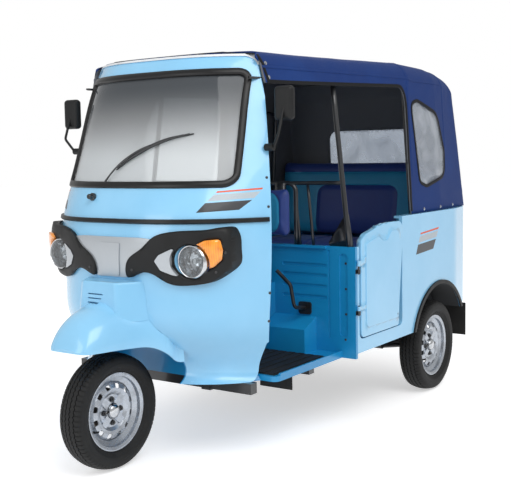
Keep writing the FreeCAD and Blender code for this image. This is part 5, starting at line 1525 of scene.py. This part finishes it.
def opening_path(distance, gap=BINDING_STEP):
    """Edge of the side opening, moved into the cloth, from the front edge down to the rim."""
    arc = round_corners(OPENING, [0, 0, OPENING_RADIUS, 0], 10)
    moved = aside(arc, distance, False)
    return [p for p in spaced(moved, gap) if p.x < OPENING_FRONT and p.y > BODY_TOP + 0.004]


def over_roof(skin, x_at, lowest, steps=150):
    """Places over the roof from the left side to the right one, down to a lowest height."""
    places = []
    for step in range(steps + 1):
        turn = math.pi * (0.5 - step / steps) * 1.16
        way = Vector((0, math.sin(turn), math.cos(turn)))
        y = 0.5 * math.sin(turn)
        for _ in range(3):
            found = skin.hit(Vector((x_at(y), 0, 1.35)) + way * 1.2, -way)
            if not found:
                break
            y = found[0].y
        if found and found[0].z > lowest:
            places.append(found)
    return places


def rear_window_places(skin, distance, gap):
    """Places round the rear window, moved out into the cloth."""
    outline = round_corners(REAR_WINDOW, REAR_WINDOW_RADIUS)
    found = [skin.hit((-FAR, y, z), (1, 0, 0)) for y, z in spaced(aside(outline, distance), gap, True)]
    return [hit for hit in found if hit]


def dress_canopy(cover):
    """Bindings, window welts, seams and their thread."""
    skin = Skin(cover.data)
    black, blue, runs = [], [], []
    for side in (1, -1):
        edge = side_places(skin, opening_path(0.008), side)
        black.append(strip(edge, BINDING_HALF, rise=0.0022))
        runs.append(side_places(skin, opening_path(0.0125, STITCH_STEP), side))
        welt = side_places(skin, window_path(0.009), side)
        black.append(strip(welt, BINDING_HALF, rise=0.0024, closed=True))
        runs.append(side_places(skin, window_path(0.0120, STITCH_STEP), side))
    welt = rear_window_places(skin, 0.009, BINDING_STEP)
    black.append(strip(welt, BINDING_HALF, rise=0.0024, closed=True))
    runs.append(rear_window_places(skin, 0.012, STITCH_STEP))
    hem = over_roof(skin, lambda y: front_edge(y) - 0.011, 1.622)
    black.append(strip(hem, 0.009, rise=0.0020))
    for x in BOWS:
        seam = over_roof(skin, lambda y: x, 1.05)
        blue.append(strip(seam, 0.013, rise=0.0012))
        for offset in (-0.0105, 0.0105):
            runs.append(over_roof(skin, lambda y: x + offset, 1.05, 330))
    line = [Vector((0.60 - 0.0125 * i, 1.672 + 0.012 * min(1.0, i / 60))) for i in range(128)]
    for side in (1, -1):
        seam = side_places(skin, line, side)
        blue.append(strip(seam, 0.006, rise=0.0026))
    trim = built("canopy_binding", black, BINDING, angle=50.0)
    seams = built("canopy_seams", blue, CANVAS, angle=50.0)
    return [trim, seams, stitches("canopy_thread", runs, THREAD)]


def reshaped(name, node, move, longest, finish, body="chassis", angle=35.0):
    """A node's own form, finely divided and moved point by point, in the node's place."""
    mesh = diced(NODES[node].data, longest)
    for vertex in mesh.vertices:
        vertex.co = move(vertex.co.copy())
    soften(mesh, angle)
    piece(name, mesh, finish, body, node)


def round_tail(skin, z, steps=210):
    """Places round the tail at one height, from the left side to the right one."""
    middle = Vector((-0.90, 0.0, z))
    places = []
    for step in range(steps + 1):
        turn = math.radians(61.0 + 238.0 * step / steps)
        way = Vector((math.cos(turn), math.sin(turn), 0))
        found = skin.hit(middle + way * 2.0, -way)
        if found:
            places.append(found)
    return places


def snap():
    """Press stud: a domed cap on a flat ring."""
    return lathe(SNAP, sides=18)


reshaped("canopy_bows", "canopy_frame", tensioned, 0.150, BLACK_STEEL, angle=40.0)
reshaped("window_panes", "canopy_windows", tensioned, 0.060, FILM)
COVER, COVER_AREA = make_canopy()
dress_canopy(COVER)


# Guard posts, doors and the tub's doorways
def post_pulled(point):
    """The posts carried up to the cover's raised edge, the rods going with them."""
    share = ease(abs(point.y), 0.30, 0.57)
    side = math.copysign(1.0, point.y)
    old = (point.z - POST_FOOT_Z) / (POST_TOP_Z - POST_FOOT_Z)
    if old <= 0:
        return point
    z = point.z
    if z > POST_BEND_Z:
        z = POST_BEND_Z + (z - POST_BEND_Z) * (POST_NEW_TOP_Z - POST_BEND_Z) / (POST_TOP_Z - POST_BEND_Z)
    new = (z - POST_FOOT_Z) / (POST_NEW_TOP_Z - POST_FOOT_Z)
    x = point.x + share * (-0.029 * new - 0.055 * old)
    y = point.y + side * share * (-0.098 * new + 0.046 * old)
    return Vector((x, y, point.z + (z - point.z) * share))


def door_raised(point):
    """The door's top edge as one early, even curve, its raised field following."""
    lift = max(0.0, between(point.x, DOOR_NEW_TOP) - between(point.x, DOOR_OLD_TOP))
    rake = DOOR_RAKE * ease(DOOR_X - point.x, 0.36, 0.44) * (1 - ease(point.z, 0.45, 0.97))
    return Vector((point.x + rake, point.y, point.z + lift * ease(point.z, 0.70, 0.85)))


def make_doorways():
    """The tub with its rim cut clear of both doorways."""
    block = both_sides(corners_of(DOORWAY_LOW, DOORWAY_HIGH), BLOCK_FACES)
    cutter = bpy.data.objects.new("doorway_cutter", mesh_of("doorway_cutter", *block))
    bpy.context.scene.collection.objects.link(cutter)
    cut = {"object": cutter, "operation": "DIFFERENCE", "solver": "EXACT"}
    mesh = diced(worked(NODES["rear_body"].data.copy(), "tub_shell", ("BOOLEAN", cut)), 0.060)
    bpy.data.objects.remove(cutter)
    soften(mesh, 12.0)
    piece("tub_shell", mesh, TUB_BLUE, instead_of="rear_body")


reshaped("guard_posts", "guard_rail", post_pulled, 0.090, BLACK_STEEL, angle=40.0)
for door in ("left_door", "right_door"):
    reshaped(door + "_skin", door, door_raised, 0.030, GLOSS_BLUE, door, 30.0)
make_doorways()


# Cowl trim
def cowl_x(y):
    """Depth of the cowl's skin at lamp height."""
    return NOSE_X - COWL_SWEEP * (abs(y) / COWL_HALF) ** 3


def stood_off(point):
    """The bezel's outer end lifted off the skin, its foot left on it."""
    share = ease(abs(point.y), 0.30, BEZEL_END)
    depth = max(0.0, point.x - cowl_x(point.y))
    return Vector((point.x + depth * BEZEL_LIFT * share, point.y, point.z))


def make_gasket():
    """Round-backed rubber round the windscreen."""
    skin = skin_of("windscreen_gasket", "cab_cowl")
    path = spaced(aside(round_corners(SCREEN, SCREEN_RADIUS), -GASKET_INSET), 0.010, True)
    places = [skin.front(y, z) for y, z in path]
    places = [(point - normal * GASKET_SINK, normal) for point, normal in places]
    band = strip(places, 0.0150, rise=0.0095, sink=0.010, closed=True)
    built("screen_rubber", [band], GASKET, instead_of="windscreen_gasket", angle=50.0)


def patch(place_at, corners, count=10):
    """Thin four-sided film on the skin between four corners."""
    a, b, c, d = (Vector(corner) for corner in corners)
    top, low = [], []
    for i in range(count + 1):
        for j in range(count + 1):
            flat = a.lerp(b, j / count).lerp(d.lerp(c, j / count), i / count)
            point, normal = place_at(flat.x, flat.y)
            top.append(point + normal * 0.0004)
            low.append(point - normal * 0.0003)
    side = count + 1
    under = side * side
    faces = []
    for i in range(count):
        for j in range(count):
            k = i * side + j
            faces.append((k, k + 1, k + side + 1, k + side))
            faces.append((under + k + side, under + k + side + 1, under + k + 1, under + k))
    rim = list(range(side)) + [i * side + count for i in range(1, side)]
    rim += [count * side + j for j in range(count - 1, -1, -1)] + [i * side for i in range(count - 1, 0, -1)]
    for k, after in zip(rim, rim[1:] + rim[:1]):
        faces.append((k, k + under, after + under, after))
    return top + low, faces


def make_bars():
    """Slanted bars on the cowl's corners and on the tub's sides, mirrored."""
    cowl, tub = skin_of("cab_cowl"), skin_of("rear_body")
    for tone, film in (("dark", INK_DARK), ("pale", INK_PALE), ("warm", INK_WARM)):
        parts = []
        for side in (1, -1):
            parts.append(patch(cowl.front, [(y * side, z) for y, z in COWL_BARS[tone]]))
            parts.append(patch(lambda x, z: tub.side(x, z, side), TUB_BARS[tone]))
        built("bars_" + tone, parts, film)


def screw():
    """Pan-head screw with a raised cross, standing on Z."""
    parts = [lathe(SCREW_HEAD, sides=16)]
    for x, y in ((0.0026, 0.0006), (0.0006, 0.0026)):
        parts.append((corners_of((-x, -y, 0.0020), (x, y, 0.00295)), BLOCK_FACES))
    return gather(parts)


def make_screws():
    """Screws along the header, the lamp surrounds, the partition and the cowl's rear edge."""
    header, bezel = skin_of("header_strip"), skin_of("lamp_bezels")
    wall, cowl = skin_of("partition_wall"), skin_of("cab_cowl")
    places = [on_skin(header.hit((header_x(y), y, FAR), (0, 0, -1)), (1, 0, 0)) for y in HEADER_SCREWS]
    for side in (1, -1):
        for y, z in BEZEL_SCREWS:
            point, normal = bezel.front(y * side, z)
            places.append((stood_off(point), normal, Vector((0, 0, 1))))
        places += [on_skin(wall.front(0.60 * side, z)) for z in WALL_SCREWS]
        places += [on_skin(cowl.side(cowl_side(z), z, side)) for z in COWL_SCREWS]
    places = [place for place in places if place]
    set_on("trim_screws", screw(), places, BLACK_STEEL, size=1.15)


def make_press_studs():
    """Studs at the cover's front corners and round its foot."""
    cover = Skin(COVER.data)
    places = [on_skin(cover.side(0.600, z, side)) for side in (1, -1) for z in EDGE_STUDS]
    hem = round_tail(cover, BODY_TOP + 0.018)
    places += [on_skin(hem[int(share * (len(hem) - 1))]) for share in HEM_STUDS]
    places = [place for place in places if place]
    set_on("press_studs", snap(), places, CHROME)


def header_x(y):
    """Middle line of the pale strip, seen from above."""
    return 0.716 - 0.085 * (abs(y) / 0.45) ** 3


def cowl_side(z):
    """A little ahead of the cowl's rear edge at a height."""
    return FRONT_X - between(z, ((1.42, 0.445), (1.20, 0.405), (1.04, 0.383), (0.56, 0.392))) + 0.012


def over_glass(glass, points, lift, steps=8):
    """A smooth line at a height above the windscreen, through (side distance, height) pairs."""
    line = []
    for y, z in points:
        point, _ = glass.front(y, max(z, 1.225))
        line.append(Vector((point.x, y, z)) + Vector((0.97, 0, 0.2)) * lift)
    return eased(line, steps)


def make_wiper():
    """Arm on its spindle, a bridge of two yokes, and the rubber edge on the glass."""
    glass = skin_of("windscreen_glass")
    parts = [lathe(SPINDLE, (1.008, -0.152, 1.146), (1, -0.05, 0.1), 24)]
    arm = over_glass(glass, WIPER_ARM, 0.021)
    parts.append(tube(arm, [0.0085 - 0.0042 * min(1.0, i / 14) for i in range(len(arm))], 10, flat=0.6))
    bridge = over_glass(glass, WIPER_BRIDGE, 0.0135)
    swell = [math.sin(math.pi * i / (len(bridge) - 1)) for i in range(len(bridge))]
    parts.append(tube(bridge, [0.0034 + 0.0040 * share for share in swell], 8, flat=0.9))
    for yoke in WIPER_YOKES:
        parts.append(tube(over_glass(glass, yoke, 0.0105), 0.0036, 8, flat=0.8))
    parts.append(tube(over_glass(glass, WIPER_EDGE, 0.0035), 0.0032, 6, flat=1.2))
    built("wiper_set", parts, BLACK_STEEL, instead_of="wiper")


def make_waist_rubber():
    """Rubber strip round the cowl's waist, from door edge to door edge."""
    skin = skin_of("cab_cowl")
    places = []
    for step in range(121):
        turn = math.radians(WAIST_REACH * (2 * step / 120 - 1))
        way = Vector((math.cos(turn), math.sin(turn), 0))
        found = skin.hit(Vector((0.74, 0, WAIST_Z)) + way * 1.5, -way)
        if found and found[0].x > WAIST_END_X and (abs(found[0].y) > 0.4 or found[0].x > 0.9):
            places.append(found)
    band = strip(places, 0.0100, rise=0.0120, sink=0.002)
    built("waist_rubber", [band], GASKET, instead_of="waist_strip", angle=50.0)


reshaped("lamp_surrounds", "lamp_bezels", stood_off, 0.020, BLACK_PLASTIC)
reshaped("turn_lenses", "indicators", stood_off, 0.015, AMBER)
make_gasket()
make_waist_rubber()
make_wiper()
make_bars()
make_screws()
make_press_studs()
